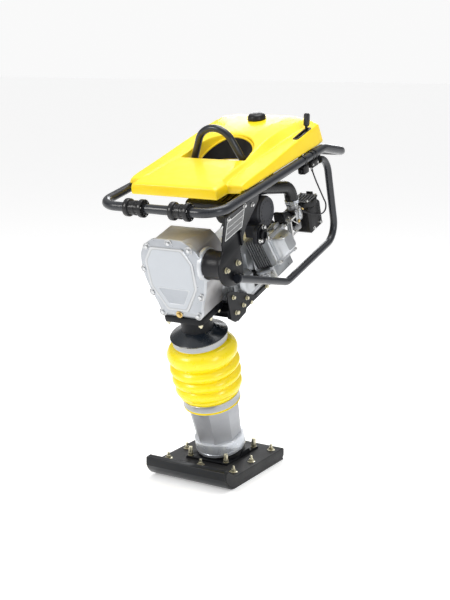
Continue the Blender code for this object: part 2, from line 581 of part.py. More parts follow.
def build_engine(leg):
    front = CASE_REAR + 0.0472
    crankcase = box("crankcase", leg, (-0.072, front, 0.478), (0.066, 0.345, 0.628), "cast_silver", 0.008)
    bore = cylinder("crank_bore", leg, (0, 0.22, SHAFT_CENTRE), "y", 0.050, 0.40)
    sump = box("sump_edge", leg, (-0.085, front + 0.012, 0.472), (0.095, 0.335, 0.492))
    foot_pad = box("case_foot", leg, (0.05, front + 0.020, 0.480), (0.102, 0.200, 0.560), edge=0.012)
    cut(join(crankcase, sump, foot_pad), bore)

    engine = empty("engine_frame", (0, CYLINDER_R, SHAFT_CENTRE), (0, -CYLINDER_TILT, 0), leg)
    outline("finned_cylinder", engine, [fin_comb()], "xz", (0, 0, 0), 0.092, "black_steel")
    head = box("cylinder_head", engine, (0.1413, -0.050, -0.046), (0.172, 0.050, 0.050), "cast_silver", 0.004)
    plug_seat = cylinder("plug_seat_hole", engine, (0.155, 0.047, -0.020), "y", 0.0095, 0.010, sides=14)
    cut(head, plug_seat)
    cylinder("spark_plug_cap", engine, (0.155, 0.061, -0.020), "y", 0.009, 0.036, "black_rubber", 14)
    cover = box("valve_cover", engine, (0.1723, -0.050, -0.042), (0.1775, 0.050, 0.046), "cast_silver", 0.004)
    join(cover, box("cover_dome", engine, (0.175, -0.040, -0.033), (0.211, 0.040, 0.037), edge=0.010))
    shroud_loop = [(0.088, -0.0465), (0.096, -0.070), (0.120, -0.086), (0.158, -0.075), (0.158, -0.040)]
    shroud_loop += [(0.1425, -0.040), (0.1425, -0.0465)]
    join(head, outline("lower_shroud", engine, [shroud_loop], "xz", (0, -0.012, 0), 0.100))

    muffler = cylinder("muffler", leg, (0.060, 0.262, 0.719), "x", 0.0475, 0.155, "black_steel", 28)
    bevel(muffler, 0.005)
    flange = cylinder("exhaust_flange", leg, (0.143, 0.196, 0.674), "x", 0.031, 0.012, sides=20)
    join(muffler, box("exhaust_stack", leg, (0.098, 0.190, 0.664), (0.140, 0.2350, 0.704)), flange)

    carb = box("carburettor", leg, (0.122, 0.385, 0.620), (0.166, 0.430, 0.666), "cast_silver", 0.006)
    bowl = cylinder("float_bowl", leg, (0.144, 0.408, 0.612), "z", 0.019, 0.030, sides=16)
    inlet = cylinder("carb_inlet", leg, (0.145, 0.405, 0.672), "z", 0.0185, 0.0156, sides=20)
    join(carb, bowl, inlet)
    arm = box("carb_throttle_arm", leg, (0.1665, 0.400, 0.640), (0.1695, 0.410, 0.664), "bright_steel")
    join(arm, cylinder("arm_hub", leg, (0.168, 0.405, 0.640), "x", 0.008, 0.003, sides=14))

    air_box = box("air_box", leg, (0.108, 0.4455, 0.560), (0.178, 0.525, 0.646), "black_plastic", 0.006)
    join(air_box, cylinder("air_box_lid", leg, (0.143, 0.485, 0.652), "z", 0.040, 0.016))
    path = rounded_path([(0.110, 0.2435, 0.799), (0.145, 0.405, 0.754), (0.145, 0.405, 0.6803)], 0.036, 5)
    tube("intake_elbow", leg, path, 0.0205, "black_rubber")
    box("air_cleaner", leg, (-0.030, 0.090, 0.772), (0.140, 0.235, 0.820), "black_plastic", 0.008)

    shroud = ((0.094, 0.053), (0.099, 0.046), (0.099, 0.0), (0.104, 0.0), (0.104, 0.050), (0.098, 0.058),
              (0.060, 0.058), (0.060, 0.053))
    turned("fan_shroud", leg, shroud[::-1], "black_plastic", (0, 0.3465, SHAFT_CENTRE), "y", 28)
    starter = ((0, 0.030), (0.040, 0.030), (0.066, 0.018), (0.075, 0.0), (0.070, 0.0), (0.062, 0.014),
               (0.038, 0.025), (0, 0.025))
    turned("recoil_starter", leg, starter, "black_plastic", (0, 0.4050, SHAFT_CENTRE), "y", 28)
    crank = ((0, 0.392), (0.018, 0.392), (0.018, 0.384), (0.088, 0.384), (0.088, 0.362), (0.0125, 0.362),
             (0.0125, 0.0925), (0, 0.0925))
    turned("crankshaft_flywheel", leg, crank, "gear_steel", (0, 0, SHAFT_CENTRE), "y", 28)
    box("starter_grip", leg, (-0.104, 0.4048, 0.548), (-0.086, 0.4208, 0.584), "black_rubber", 0.004)

    bracket = box("engine_bracket", leg, (-0.090, CASE_REAR + 0.010, 0.452), (0.093, 0.300, 0.4717), "black_steel")
    cheek = [(0.030, 0.500), (0.030, 0.474), (0.058, 0.448), (0.113, 0.451), (0.118, 0.462), (0.300, 0.462)]
    cheek += [(0.300, 0.4717), (0.112, 0.4717), (0.080, 0.520)]
    side = outline("bracket_cheek", leg, [cheek], "yz", (0.096, 0, 0), 0.008)
    ear = box("left_mount_ear", leg, (LEFT_EAR, 0.070, 0.456), (-0.0865, 0.130, 0.652), edge=0.003)
    join(bracket, side, ear)


def fin_comb(fins=6, first=0.0885, pitch=0.0085, thick=0.003):
    """The side view of the finned barrel, cooling fins above and below its core."""
    core, top, low = 0.036, 0.052, -0.046
    starts = [first + pitch * fin for fin in range(fins)]
    upper, lower = [], []
    for start in starts:
        lower += [(start, -core), (start, low), (start + thick, low), (start + thick, -core)]
        upper += [(start, core), (start, top), (start + thick, top), (start + thick, core)]
    return [(0.0835, -core), *lower, (0.141, -core), (0.141, core), *upper[::-1], (0.0835, core)]


# The handle, tank and controls


def build_handle(handle):
    corner, seam = 0.062, 0.080
    knee, bar = Vector((RAIL_REAR + 0.0135, 0.0)), Vector((0.790, -0.058))
    joint = knee.lerp(bar, 0.32)
    rail_end = joint - (bar - knee).normalized() * GAP
    front_path = [(-RAIL_X, seam, 0), (-RAIL_X, 0, 0), (RAIL_X, 0, 0), (RAIL_X, seam, 0)]
    tube("handle_front", handle, rounded_path(front_path, corner, 6), TUBE, "charcoal_steel")
    rear_path = [(-RAIL_X, *joint), (-RAIL_X, *bar), (RAIL_X, *bar), (RAIL_X, *joint)]
    tube("handle_rear", handle, rounded_path(rear_path, 0.050, 6), TUBE, "charcoal_steel")
    for side, name in ((-1, "handle_rail_left"), (1, "handle_rail_right")):
        points = [(side * RAIL_X, seam + GAP, 0), (side * RAIL_X, *knee), (side * RAIL_X, *rail_end)]
        tube(name, handle, rounded_path(points, 0.08, 3), TUBE, "charcoal_steel")

    profile = ((0.0180, 0.0335), (0.0255, 0.0300), (0.0260, 0.0190), (0.0225, 0.0165), (0.0215, 0.0),
               (0.0225, -0.0165), (0.0260, -0.0190), (0.0255, -0.0300), (0.0180, -0.0335),
               (TUBE + GAP, -0.0335), (TUBE + GAP, 0.0335))
    for x, name in ((-0.068, "roller_left"), (0.083, "roller_right")):
        turned(name, handle, profile, "black_plastic", (x, 0, 0), "x", 24)


def build_bale(leg, handle):
    """The lifting bale: a bent tube with splayed legs, welded to a crossbar between the rails."""
    bend, splay, knee, foot = 0.062, radians(25), 0.882, 0.838
    arch = arc((0, 0.914), bend, splay, pi - splay, 8)
    knee_x = arch[0][0] + (arch[0][1] - knee) * sin(splay) / cos(splay)
    half = [(knee_x, foot), (knee_x, knee)]
    path = [(x, 0.265, z) for x, z in (*half, *arch, *[(-x, z) for x, z in half[::-1]])]
    bale = as_mesh(tube("lifting_bale", leg, path, 0.011, "charcoal_steel"))
    reach = RAIL_X - TUBE - GAP
    join(bale, as_mesh(tube("bale_crossbar", handle, [(-reach, 0.350, -0.006), (reach, 0.350, -0.006)], 0.010)))


def build_side_supports(leg):
    """The sheet side plates on the rubber mounts, the spec plate, and the guard tubes round the engine."""
    lobe = arc(BOSS_CENTRE, 0.056, radians(110), radians(250), 10)
    lower = [*lobe, (-0.012, 0.618), (0.034, 0.628), (0.040, 0.663), (0.040, 0.715), (0.071, 0.738),
             (0.095, PLATE_BEND), (-0.044, PLATE_BEND)]
    plate = outline("side_plate_right", leg, [lower], "yz", (PLATE_X, 0, 0), PLATE_THICK, "black_steel")
    splay = empty("plate_splay_frame", (PLATE_X, 0, PLATE_BEND), (0, PLATE_SPLAY, 0), leg)
    upper = [(-0.044, -0.004), (0.095, -0.004), (0.150, 0.052), (0.146, 0.0765), (-0.046, 0.0895)]
    join(plate, outline("side_plate_top", splay, [upper], "yz", (0, 0, 0), PLATE_THICK))
    face = PLATE_THICK / 2 + GAP
    box("spec_plate", splay, (face, -0.034, 0.006), (face + 0.0008, 0.064, 0.070), "label")

    left_lobe = arc(LEFT_MOUNT, 0.045, radians(20), radians(275), 14)
    left = [*left_lobe, (0.168, 0.556), (0.180, 0.585)]
    outline("side_plate_left", leg, [left], "yz", (-PLATE_X, 0, 0), PLATE_THICK, "black_steel")

    start = PLATE_X + PLATE_THICK / 2 + GAP + GUARD_TUBE
    rest = [(RAIL_X, 0.215, 0.513), (RAIL_X, 0.553, 0.505), (RAIL_X, 0.561, 0.770), (RAIL_X, 0.512, 0.786)]
    right_path = rounded_path([(start, -0.022, 0.646), *rest], 0.060, 5)
    tube("guard_tube_right", leg, right_path, GUARD_TUBE, "charcoal_steel")
    left_rest = [(-x, r, u) for x, r, u in rest]
    left_path = rounded_path([(-start, 0.120, 0.590), (-RAIL_X, 0.235, 0.514), *left_rest[1:]], 0.060, 5)
    tube("guard_tube_left", leg, left_path, GUARD_TUBE, "charcoal_steel")


def build_tank(handle):
    """The moulded fuel tank: a loft of cross sections from the front lip to the rear wall."""
    mesh = bpy.data.meshes.new("fuel_tank")
    bm = bmesh.new()
    rings = []
    for s, half in TANK_SECTIONS:
        wall_x, wall_h = half[-1]
        inner = (min(wall_x - 0.012, 0.184), TANK_FLOOR)
        right = [*half, (inner[0] + 0.001, wall_h), inner]
        loop = [*right, *[(-x, h) for x, h in reversed(right[1:])]]
        rings.append([bm.verts.new((x, s, h)) for x, h in loop])
    count = len(rings[0])
    for near, far in zip(rings, rings[1:]):
        for k in range(count):
            bm.faces.new((near[k], near[(k + 1) % count], far[(k + 1) % count], far[k]))
    bm.faces.new(rings[0][::-1])
    bm.faces.new(rings[-1])
    bmesh.ops.recalc_face_normals(bm, faces=bm.faces)
    bm.to_mesh(mesh)
    bm.free()
    tank = add_object("fuel_tank", mesh, handle, (0, 0, 0), (0, 0, 0), "yellow_plastic")

    arch = [(x, 0.360 + 0.092 * sqrt(max(1 - (x / 0.104) ** 2, 0))) for x in (0.104, 0.095, 0.078, 0.05, 0.02)]
    hole_loop = [(-0.112, 0.308), (0.112, 0.308), *arch, *[(-x, s) for x, s in reversed(arch)]]
    opening = outline("bale_opening", handle, [hole_loop], "xy", (0, 0, 0.05), 0.3)
    tray = box("front_tray", handle, (-0.128, 0.098, -0.05), (0.128, 0.300, 0.0345))
    fuel = box("fuel_space", handle, (-0.098, 0.465, 0.010), (0.098, 0.640, 0.076))
    neck = cylinder("filler_neck", handle, (0, FILLER_S, 0.09), "z", 0.0180, 0.06, sides=20)
    slot = box("lever_slot", handle, (0.1700, 0.508, -0.05), (0.1805, 0.596, 0.15))
    cut(tank, opening, tray, fuel, neck, slot)

    top = TANK_TOP + GAP
    cap = ((0, top + 0.021), (0.018, top + 0.0195), (0.0270, top + 0.0135), (0.0290, top + 0.004), (0.0290, top),
           (0.0175, top), (0.0175, top - 0.012), (0, top - 0.012))
    turned("fuel_cap", handle, cap, "black_plastic", (0, FILLER_S, 0), sides=24)


def build_controls(handle, leg):
    low, high = -0.036, -TUBE - GAP - 0.0002
    box("throttle_clamp", handle, (0.1786, 0.535, low), (0.2125, 0.575, high), "black_plastic", 0.003)
    lever = empty("lever_pivot", (0.1760, 0.552, -0.026), (-LEVER_REST, 0, 0), handle)
    arm = cylinder("throttle_lever", lever, (0, 0, 0), "x", 0.009, 0.0040, "black_plastic", 16)
    stem = box("lever_stem", lever, (-0.0020, -0.006, 0.0), (0.0020, 0.006, 0.116))
    paddle = box("lever_paddle", lever, (-0.0065, -0.012, 0.112), (0.0065, 0.012, 0.151), edge=0.004)
    join(arm, stem, paddle)

    switch = box("stop_switch", handle, (0.1870, 0.482, -0.040), (0.2125, 0.512, high), "black_plastic", 0.003)
    pocket = cylinder("button_pocket", handle, (0.1998, 0.486, -0.027), "y", 0.0064, 0.020, sides=16)
    cut(switch, pocket)
    cylinder("stop_button", handle, (0.1998, 0.4830, -0.027), "y", 0.0060, 0.017, "black_plastic", 16)

    route = ((0.1955, 0.4645, 0.7775), (0.1920, 0.490, 0.722), (0.1885, 0.526, 0.652), (0.1868, 0.541, 0.622),
             (0.1866, 0.531, 0.604), (0.1862, 0.498, 0.606), (0.1825, 0.440, 0.634), (0.1728, 0.407, 0.660))
    tube("throttle_cable", leg, smooth_route(route, 3), 0.0025, "black_rubber", 2)


def smooth_route(points, steps):
    """Points along a Catmull-Rom curve through the route's own points."""
    points = [Vector(point) for point in points]
    ends = [2 * points[0] - points[1], *points, 2 * points[-1] - points[-2]]
    path = []
    for a, b, c, d in zip(ends, ends[1:], ends[2:], ends[3:]):
        for step in range(steps):
            t = step / steps
            path.append(0.5 * (2 * b + (c - a) * t + (2 * a - 5 * b + 4 * c - d) * t**2
                               + (3 * b - a - 3 * c + d) * t**3))
    return [*path, points[-1]]


def main():
    global parts, tools
    clear_scene()
    parts = new_collection("jumping_jack_rammer")
    tools = new_collection("modelling_tools")
    leg = empty("leg_frame", LEG_FOOT, (LEG_LEAN, 0, 0))
    handle = empty("handle_frame", HANDLE_FRONT, (HANDLE_TILT, 0, 0))
    build_shoe()
    build_leg(leg)
    spring("lower_spring", leg, SPRING_TUBE_LOW + 0.014, PISTON_LOW, 7)
    spring("upper_spring", leg, PISTON_HIGH, SPRING_TUBE_HIGH - 0.010, 4)
    build_bellows(leg)
    build_guide(leg)
    build_gearcase(leg)
    build_gears(leg)
    build_ram(leg)
    build_engine(leg)
    build_handle(handle)
    build_bale(leg, handle)
    build_side_supports(leg)
    build_tank(handle)
    build_controls(handle, leg)
    for obj in parts.objects:
        if obj.type == "MESH" and obj.data.materials:
            obj.data.set_sharp_from_angle(angle=radians(32))


main()
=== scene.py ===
"""The looks of the jumping jack rammer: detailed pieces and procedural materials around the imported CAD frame.

Lengths are in millimetres in the parts' own frames, which turn them into the world's metres, +Z up.
In LEG the z axis runs up the leg and the y axis rearward along both shafts. HANDLE lies in the plane of the
side rails. ENGINE's x axis runs along the cylinder. SPLAY lies on the splayed end of the right side plate.
"""

import json
from math import atan2, cos, pi, radians, sin

import bmesh
import bpy
from mathutils import Matrix, Vector

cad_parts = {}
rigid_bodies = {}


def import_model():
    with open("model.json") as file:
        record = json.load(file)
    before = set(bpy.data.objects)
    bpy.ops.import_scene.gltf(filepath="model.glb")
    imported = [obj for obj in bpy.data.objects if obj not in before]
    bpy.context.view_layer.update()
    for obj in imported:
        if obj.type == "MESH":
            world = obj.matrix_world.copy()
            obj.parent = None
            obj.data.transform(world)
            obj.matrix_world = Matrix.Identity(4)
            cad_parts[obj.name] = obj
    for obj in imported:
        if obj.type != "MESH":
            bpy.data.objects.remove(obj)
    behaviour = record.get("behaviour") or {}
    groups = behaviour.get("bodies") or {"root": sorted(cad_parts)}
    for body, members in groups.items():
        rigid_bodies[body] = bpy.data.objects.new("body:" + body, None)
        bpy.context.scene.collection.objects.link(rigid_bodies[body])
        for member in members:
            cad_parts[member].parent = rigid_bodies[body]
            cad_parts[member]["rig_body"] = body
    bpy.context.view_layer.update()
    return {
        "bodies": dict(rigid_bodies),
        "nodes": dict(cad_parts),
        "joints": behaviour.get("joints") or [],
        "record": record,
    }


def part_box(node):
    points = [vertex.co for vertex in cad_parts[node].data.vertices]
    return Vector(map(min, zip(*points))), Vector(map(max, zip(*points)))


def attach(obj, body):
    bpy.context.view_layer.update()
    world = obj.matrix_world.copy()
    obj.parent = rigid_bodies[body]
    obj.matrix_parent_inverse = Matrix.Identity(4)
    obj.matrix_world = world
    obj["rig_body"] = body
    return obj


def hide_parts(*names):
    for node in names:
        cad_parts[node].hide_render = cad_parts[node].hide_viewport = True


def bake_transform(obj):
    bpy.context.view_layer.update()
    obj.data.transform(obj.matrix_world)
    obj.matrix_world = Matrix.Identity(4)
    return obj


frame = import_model()
NODES = frame["nodes"]

WORLD = Matrix.Scale(0.001, 4)
LEG = WORLD @ Matrix.Translation((0, 35, 48)) @ Matrix.Rotation(radians(18), 4, "X")
HANDLE = WORLD @ Matrix.Translation((0, -314, 852)) @ Matrix.Rotation(radians(12.3), 4, "X")
SHAFT_U = 548
ENGINE = LEG @ Matrix.Translation((0, 275, SHAFT_U)) @ Matrix.Rotation(radians(-19), 4, "Y")
PLATE_X = 168.8
SPLAY = LEG @ Matrix.Translation((PLATE_X, 0, 760)) @ Matrix.Rotation(radians(17.5), 4, "Y")
METRES = Matrix.Identity(4)
UNIT = "percussion_unit"


# Materials


class Nodes:
    """A short way to write a material's node tree around its Principled shader."""

    def __init__(self, name, colour, roughness, metallic=0.0, **sockets):
        self.material = bpy.data.materials.new(name)
        self.material.use_nodes = True
        self.tree = self.material.node_tree
        self.shader = self.tree.nodes["Principled BSDF"]
        self.set("Base Color", (*colour, 1.0))
        self.set("Roughness", roughness)
        self.set("Metallic", metallic)
        for socket, value in sockets.items():
            self.set(socket.replace("_", " "), value)
        self.colour = None
        self.normal = None

    def set(self, socket, value):
        self.shader.inputs[socket].default_value = value

    def add(self, kind, values=(), **settings):
        node = self.tree.nodes.new(kind)
        for key, value in settings.items():
            setattr(node, key, value)
        for key, value in values:
            node.inputs[key].default_value = value
        return node

    def link(self, source, target):
        self.tree.links.new(source, target)

    def place(self):
        return self.add("ShaderNodeTexCoord").outputs["Object"]

    def noise(self, scale, detail=3.0, roughness=0.55, stretch=None):
        inputs = (("Scale", scale), ("Detail", detail), ("Roughness", roughness))
        node = self.add("ShaderNodeTexNoise", inputs)
        place = self.place()
        if stretch:
            mapping = self.add("ShaderNodeMapping", (("Scale", stretch),))
            self.link(place, mapping.inputs["Vector"])
            place = mapping.outputs["Vector"]
        self.link(place, node.inputs["Vector"])
        return node.outputs["Fac"]

    def ramp(self, value, low, high, start=0.0, end=1.0):
        node = self.add("ShaderNodeMapRange")
        for key, number in (("From Min", low), ("From Max", high), ("To Min", start), ("To Max", end)):
            node.inputs[key].default_value = number
        self.link(value, node.inputs["Value"])
        return node.outputs["Result"]

    def mix(self, factor, first, second):
        """Mixes the colour so far, or the first colour, towards the second by the factor."""
        node = self.add("ShaderNodeMix", data_type="RGBA")
        self.link(factor, node.inputs["Factor"])
        if self.colour is None:
            node.inputs["A"].default_value = (*first, 1.0)
        else:
            self.link(self.colour, node.inputs["A"])
        node.inputs["B"].default_value = (*second, 1.0)
        self.colour = node.outputs["Result"]
        self.link(self.colour, self.shader.inputs["Base Color"])

    def bump(self, height, strength, distance):
        node = self.add("ShaderNodeBump", (("Strength", strength), ("Distance", distance)))
        self.link(height, node.inputs["Height"])
        if self.normal is not None:
            self.link(self.normal, node.inputs["Normal"])
        self.normal = node.outputs["Normal"]
        self.link(self.normal, self.shader.inputs["Normal"])

    def rough(self, value, low, high, start, end):
        self.link(self.ramp(value, low, high, start, end), self.shader.inputs["Roughness"])

    def edges(self, low=0.52, high=0.60):
        """How much a point lies on a convex edge, for wear and a painted highlight there."""
        geometry = self.add("ShaderNodeNewGeometry")
        return self.ramp(geometry.outputs["Pointiness"], low, high)


def painted(name, colour, dust, roughness=0.3, grain=260.0, coat=0.25, shine=0.5):
    m = Nodes(name, colour, roughness, 0.0, Coat_Weight=coat, Coat_Roughness=0.18)
    m.set("Specular IOR Level", shine)
    m.mix(m.ramp(m.noise(14, 5), 0.45, 0.75, 0.0, 0.5), colour, dust)
    # Lighter on convex edges: wear, and a painted highlight.
    m.mix(m.ramp(m.edges(0.58, 0.70), 0, 1, 0, 0.25), colour, tuple(min(c * 4 + 0.04, 1) for c in colour))
    m.rough(m.noise(12, 3), 0.3, 0.7, roughness - 0.03, roughness + 0.05)
    m.bump(m.noise(grain, 2), 0.10, 0.0002)
    return m.material


def cast_metal(name, colour, shade, roughness=0.38, grain=420.0, metallic=0.75, skin=1.0):
    m = Nodes(name, colour, roughness, metallic)
    m.mix(m.ramp(m.noise(9, 4), 0.35, 0.7, 0.0, 0.7), colour, shade)
    # Pale metal on convex edges: wear, and a painted highlight.
    m.mix(m.ramp(m.edges(0.50, 0.58), 0, 1, 0, 0.45), colour, (0.86, 0.87, 0.88))
    m.rough(m.noise(60, 4), 0.3, 0.7, roughness - 0.08 * skin, roughness + 0.14 * skin)
    m.bump(m.noise(grain, 3, 0.7), 0.20 * skin, 0.0004)
    m.bump(m.noise(grain * 0.2, 2), 0.08 * skin, 0.0006)
    return m.material


def machined(name, colour, roughness=0.2, stretch=(1, 1, 40)):
    m = Nodes(name, colour, roughness, 1.0)
    lines = m.noise(120, 2, 0.5, stretch)
    m.mix(m.ramp(m.noise(20, 3), 0.4, 0.7, 0.0, 0.4), colour, tuple(c * 0.72 for c in colour))
    m.rough(lines, 0.3, 0.7, roughness * 0.7, roughness * 1.7)
    m.bump(lines, 0.08, 0.0003)
    return m.material


def plastic(name, colour, shade, roughness=0.4, grain=500.0, strength=0.15, coat=0.0, soft=0.0, shine=0.5):
    m = Nodes(name, colour, roughness, 0.0, Coat_Weight=coat, Coat_Roughness=0.15)
    m.set("Specular IOR Level", shine)
    if soft:
        m.set("Subsurface Weight", soft)
        m.set("Subsurface Radius", (0.012, 0.008, 0.002))
        m.set("Subsurface Scale", 0.5)
    m.mix(m.ramp(m.noise(6, 4), 0.35, 0.72, 0.0, 0.6), colour, shade)
    m.rough(m.noise(40, 4), 0.3, 0.7, roughness - 0.06, roughness + 0.08)
    m.bump(m.noise(grain, 2), strength, 0.0004)
    m.bump(m.noise(18, 2), 0.05, 0.002)
    return m.material


def rubber(name, colour, dust, roughness=0.6, grain=300.0, strength=0.35, shine=0.35):
    m = Nodes(name, colour, roughness, 0.0)
    m.set("Specular IOR Level", shine)
    m.mix(m.ramp(m.noise(12, 6), 0.42, 0.75, 0.0, 0.8), colour, dust)
    # Lighter on convex edges: wear, and a painted highlight.
    m.mix(m.ramp(m.edges(0.58, 0.70), 0, 1, 0, 0.2), colour, tuple(min(c * 3 + 0.03, 1) for c in colour))
    cells = m.add("ShaderNodeTexVoronoi", (("Scale", grain),))
    m.link(m.place(), cells.inputs["Vector"])
    m.bump(cells.outputs["Distance"], strength, 0.0006)
    m.bump(m.noise(grain * 0.3, 3), 0.15, 0.001)
    return m.material


def make_materials():
    return {
        "yellow_tank": plastic("tank_polyethylene", (0.95, 0.70, 0.006), (0.93, 0.64, 0.004), 0.36, 620,
                               0.08, 0.2, 0.08),
        "yellow_bellows": plastic("bellows_elastomer", (0.96, 0.76, 0.006), (0.93, 0.69, 0.003), 0.30, 700,
                                  0.04, 0.3, 0.10),
        "charcoal": painted("charcoal_powder_coat", (0.012, 0.014, 0.019), (0.018, 0.021, 0.027), 0.28, 240,
                            0.25, 0.42),
        "black": painted("black_enamel", (0.005, 0.0055, 0.007), (0.007, 0.008, 0.010), 0.38, 300, 0.0,
                         0.18),
        "toe": painted("toe_plate_enamel", (0.004, 0.005, 0.007), (0.006, 0.008, 0.011), 0.32, 300, 0.08,
                       0.25),
        "disc": painted("blue_black_enamel", (0.008, 0.012, 0.018), (0.012, 0.017, 0.024), 0.24, 200, 0.35,
                        0.45),
        "silver": cast_metal("cast_silver", (0.40, 0.42, 0.45), (0.33, 0.35, 0.38), 0.34, 420, 0.6),
        "casting": cast_metal("leg_cast_grey", (0.42, 0.43, 0.46), (0.37, 0.38, 0.40), 0.44, 420, 0.30),
        "roof": cast_metal("case_cast", (0.33, 0.33, 0.34), (0.27, 0.25, 0.24), 0.40, 420, 0.45),
        "panel": cast_metal("cover_panel_grey", (0.13, 0.165, 0.215), (0.12, 0.15, 0.20), 0.36, 900, 0.30,
                            0.6),
        "engine": cast_metal("engine_alloy", (0.46, 0.48, 0.50), (0.30, 0.31, 0.33), 0.34, 500, 0.8),
        "band": cast_metal("band_steel", (0.38, 0.39, 0.40), (0.34, 0.35, 0.36), 0.30, 500, 0.7, 0.2),
        "bright": cast_metal("polished_collar", (0.62, 0.65, 0.70), (0.54, 0.57, 0.62), 0.26, 300, 0.45,
                             0.15),
        "bolt": machined("bright_bolt", (0.66, 0.66, 0.65), 0.24, (1, 1, 4)),
        "zinc": machined("zinc_yellow", (0.64, 0.60, 0.44), 0.28, (1, 1, 6)),
        "steel": machined("oiled_steel", (0.40, 0.41, 0.42), 0.30),
        "fins": cast_metal("fin_alloy", (0.17, 0.17, 0.18), (0.06, 0.06, 0.065), 0.30, 400, 0.8),
        "dark_alloy": cast_metal("dark_alloy", (0.07, 0.07, 0.075), (0.03, 0.03, 0.033), 0.34, 500, 0.7),
        "brass": machined("brass_plug", (0.62, 0.45, 0.18), 0.25),
        "rubber": rubber("black_rubber", (0.007, 0.007, 0.009), (0.010, 0.010, 0.013), 0.36, 420, 0.08,
                         0.28),
        "shoe": rubber("shoe_rubber", (0.010, 0.010, 0.011), (0.030, 0.030, 0.031), 0.60, 330, 0.40),
        "plastic": plastic("black_plastic", (0.006, 0.006, 0.007), (0.010, 0.010, 0.011), 0.34, 380, 0.2,
                           0.0, 0.0, 0.35),
        "hose": rubber("black_hose", (0.012, 0.012, 0.013), (0.022, 0.022, 0.024), 0.26, 520, 0.05),
        "plate": machined("plate_border", (0.62, 0.63, 0.62), 0.3, (30, 1, 1)),
        "plate_field": painted("plate_field", (0.030, 0.031, 0.032), (0.05, 0.05, 0.052), 0.35, 200, 0.3),
        "muffler": painted("heat_black", (0.020, 0.021, 0.026), (0.032, 0.032, 0.036), 0.48, 260, 0.0,
                           0.35),
        # Painted shade: a dead matte black for the shadowed slots of the starter's vent and the dark hole under
        # the tank's arch.
        "gap_shade": plastic("gap_shade", (0.006, 0.006, 0.006), (0.01, 0.01, 0.01), 0.8),
    }


MATERIALS = make_materials()
SLOTS = {
    "bright_steel": ("zinc", "bolt", "bright"),
    "black_steel": ("black", "toe", "fins", "muffler"),
    "cast_silver": ("silver", "engine", "roof", "panel", "band"),
    "charcoal_steel": ("charcoal",),
    "black_plastic": ("plastic", "gap_shade", "hose"),
    "black_rubber": ("rubber",),
    "yellow_plastic": ("yellow_tank",),
    "label": ("plate", "plate_field"),
    "brass": ("brass",),
}
SLOT_OF_FINISH = {finish: slot for slot, finishes in SLOTS.items() for finish in finishes}


# Mesh tools: each adds a shape to a bmesh in the piece's own frame


def box(bm, low, high):
    low, high = Vector(low), Vector(high)
    made = bmesh.ops.create_cube(bm, size=1)["verts"]
    for vertex in made:
        vertex.co = Vector(a * b for a, b in zip(vertex.co, high - low)) + (low + high) / 2
    return made


def facing(direction):
    """The turn that takes the z axis to a direction."""
    return Vector(direction).to_track_quat("Z", "Y").to_matrix()


def skin(bm, rings, around=True, caps=True):
    """Joins each row of vertices to the next with quads, and closes the first and the last row."""
    count = len(rings[0])
    for near, far in zip(rings, rings[1:]):
        for k in range(count if around else count - 1):
            after = (k + 1) % count
            bm.faces.new((near[k], near[after], far[after], far[k]))
    if caps:
        bm.faces.new(rings[0])
        bm.faces.new(rings[-1])


AXES = {"x": Matrix.Rotation(pi / 2, 3, "Y"), "y": Matrix.Rotation(-pi / 2, 3, "X"),
        "z": Matrix.Identity(3), "-x": Matrix.Rotation(-pi / 2, 3, "Y"),
        "-y": Matrix.Rotation(pi / 2, 3, "X"), "-z": Matrix.Rotation(pi, 3, "X")}


def lathe(bm, profile, centre=(0, 0, 0), axis="z", sides=64, phase=0):
    """A (radius, height) profile turned about the axis, which its ends reach, or a loop whose ends meet."""
    turn = AXES[axis] if isinstance(axis, str) else axis
    centre = Vector(centre)
    rings = []
    for radius, height in profile:
        if radius == 0:
            rings.append([bm.verts.new(centre + turn @ Vector((0, 0, height)))])
            continue
        angles = [phase + 2 * pi * k / sides for k in range(sides)]
        points = [Vector((radius * cos(angle), radius * sin(angle), height)) for angle in angles]
        rings.append([bm.verts.new(centre + turn @ point) for point in points])
    for near, far in zip(rings, rings[1:]):
        for k in range(sides):
            after = (k + 1) % sides
            corners = [near[k % len(near)], near[after % len(near)], far[after % len(far)],
                       far[k % len(far)]]
            unique = list(dict.fromkeys(corners))
            if len(unique) > 2:
                bm.faces.new(unique)


def solid(bm, side, centre=(0, 0, 0), axis="z", sides=64, phase=0):
    """A turned solid: the profile of its side, closed with a flat disc at each end."""
    lathe(bm, [(0, side[0][1]), *side, (0, side[-1][1])], centre, axis, sides, phase)


def ring(bm, section, centre=(0, 0, 0), axis="z", sides=64):
    """A closed section turned about the axis."""
    lathe(bm, [*section, section[0]], centre, axis, sides)


def prism(bm, loop, axis, low, high):
    """An outline of points on the other two axes, swept between two places along the axis."""
    order = {"x": (2, 0, 1), "y": (0, 2, 1), "z": (0, 1, 2)}[axis]
    skin(bm, [[bm.verts.new([(a, b, place)[k] for k in order]) for a, b in loop] for place in (low, high)])


def sweep(bm, path, radius, sides=24):
    """A round tube along the points of a path."""
    path = [Vector(p) for p in path]
    side = (path[1] - path[0]).orthogonal()
    rings = []
    for index, place in enumerate(path):
        tangent = (path[min(index + 1, len(path) - 1)] - path[max(index - 1, 0)]).normalized()
        side = (side - tangent * side.dot(tangent)).normalized()
        other = tangent.cross(side)
        angles = [2 * pi * k / sides for k in range(sides)]
        rings.append([bm.verts.new(place + (side * cos(a) + other * sin(a)) * radius) for a in angles])
    skin(bm, rings)


def rounded_path(points, radius, steps):
    """A path through the points with an arc at each corner."""
    path = [Vector(points[0])]
    for before, corner, after in zip(points, points[1:], points[2:]):
        before, corner, after = Vector(before), Vector(corner), Vector(after)
        into, out = (corner - before).normalized(), (after - corner).normalized()
        angle = into.angle(out)
        reach = radius * sin(angle / 2) / cos(angle / 2)
        middle = corner + (out - into).normalized() * radius / cos(angle / 2)
        start = corner - into * reach - middle
        for step in range(steps + 1):
            turn = angle * step / steps
            path.append(middle + start * cos(turn) + into * radius * sin(turn))
    path.append(Vector(points[-1]))
    return path


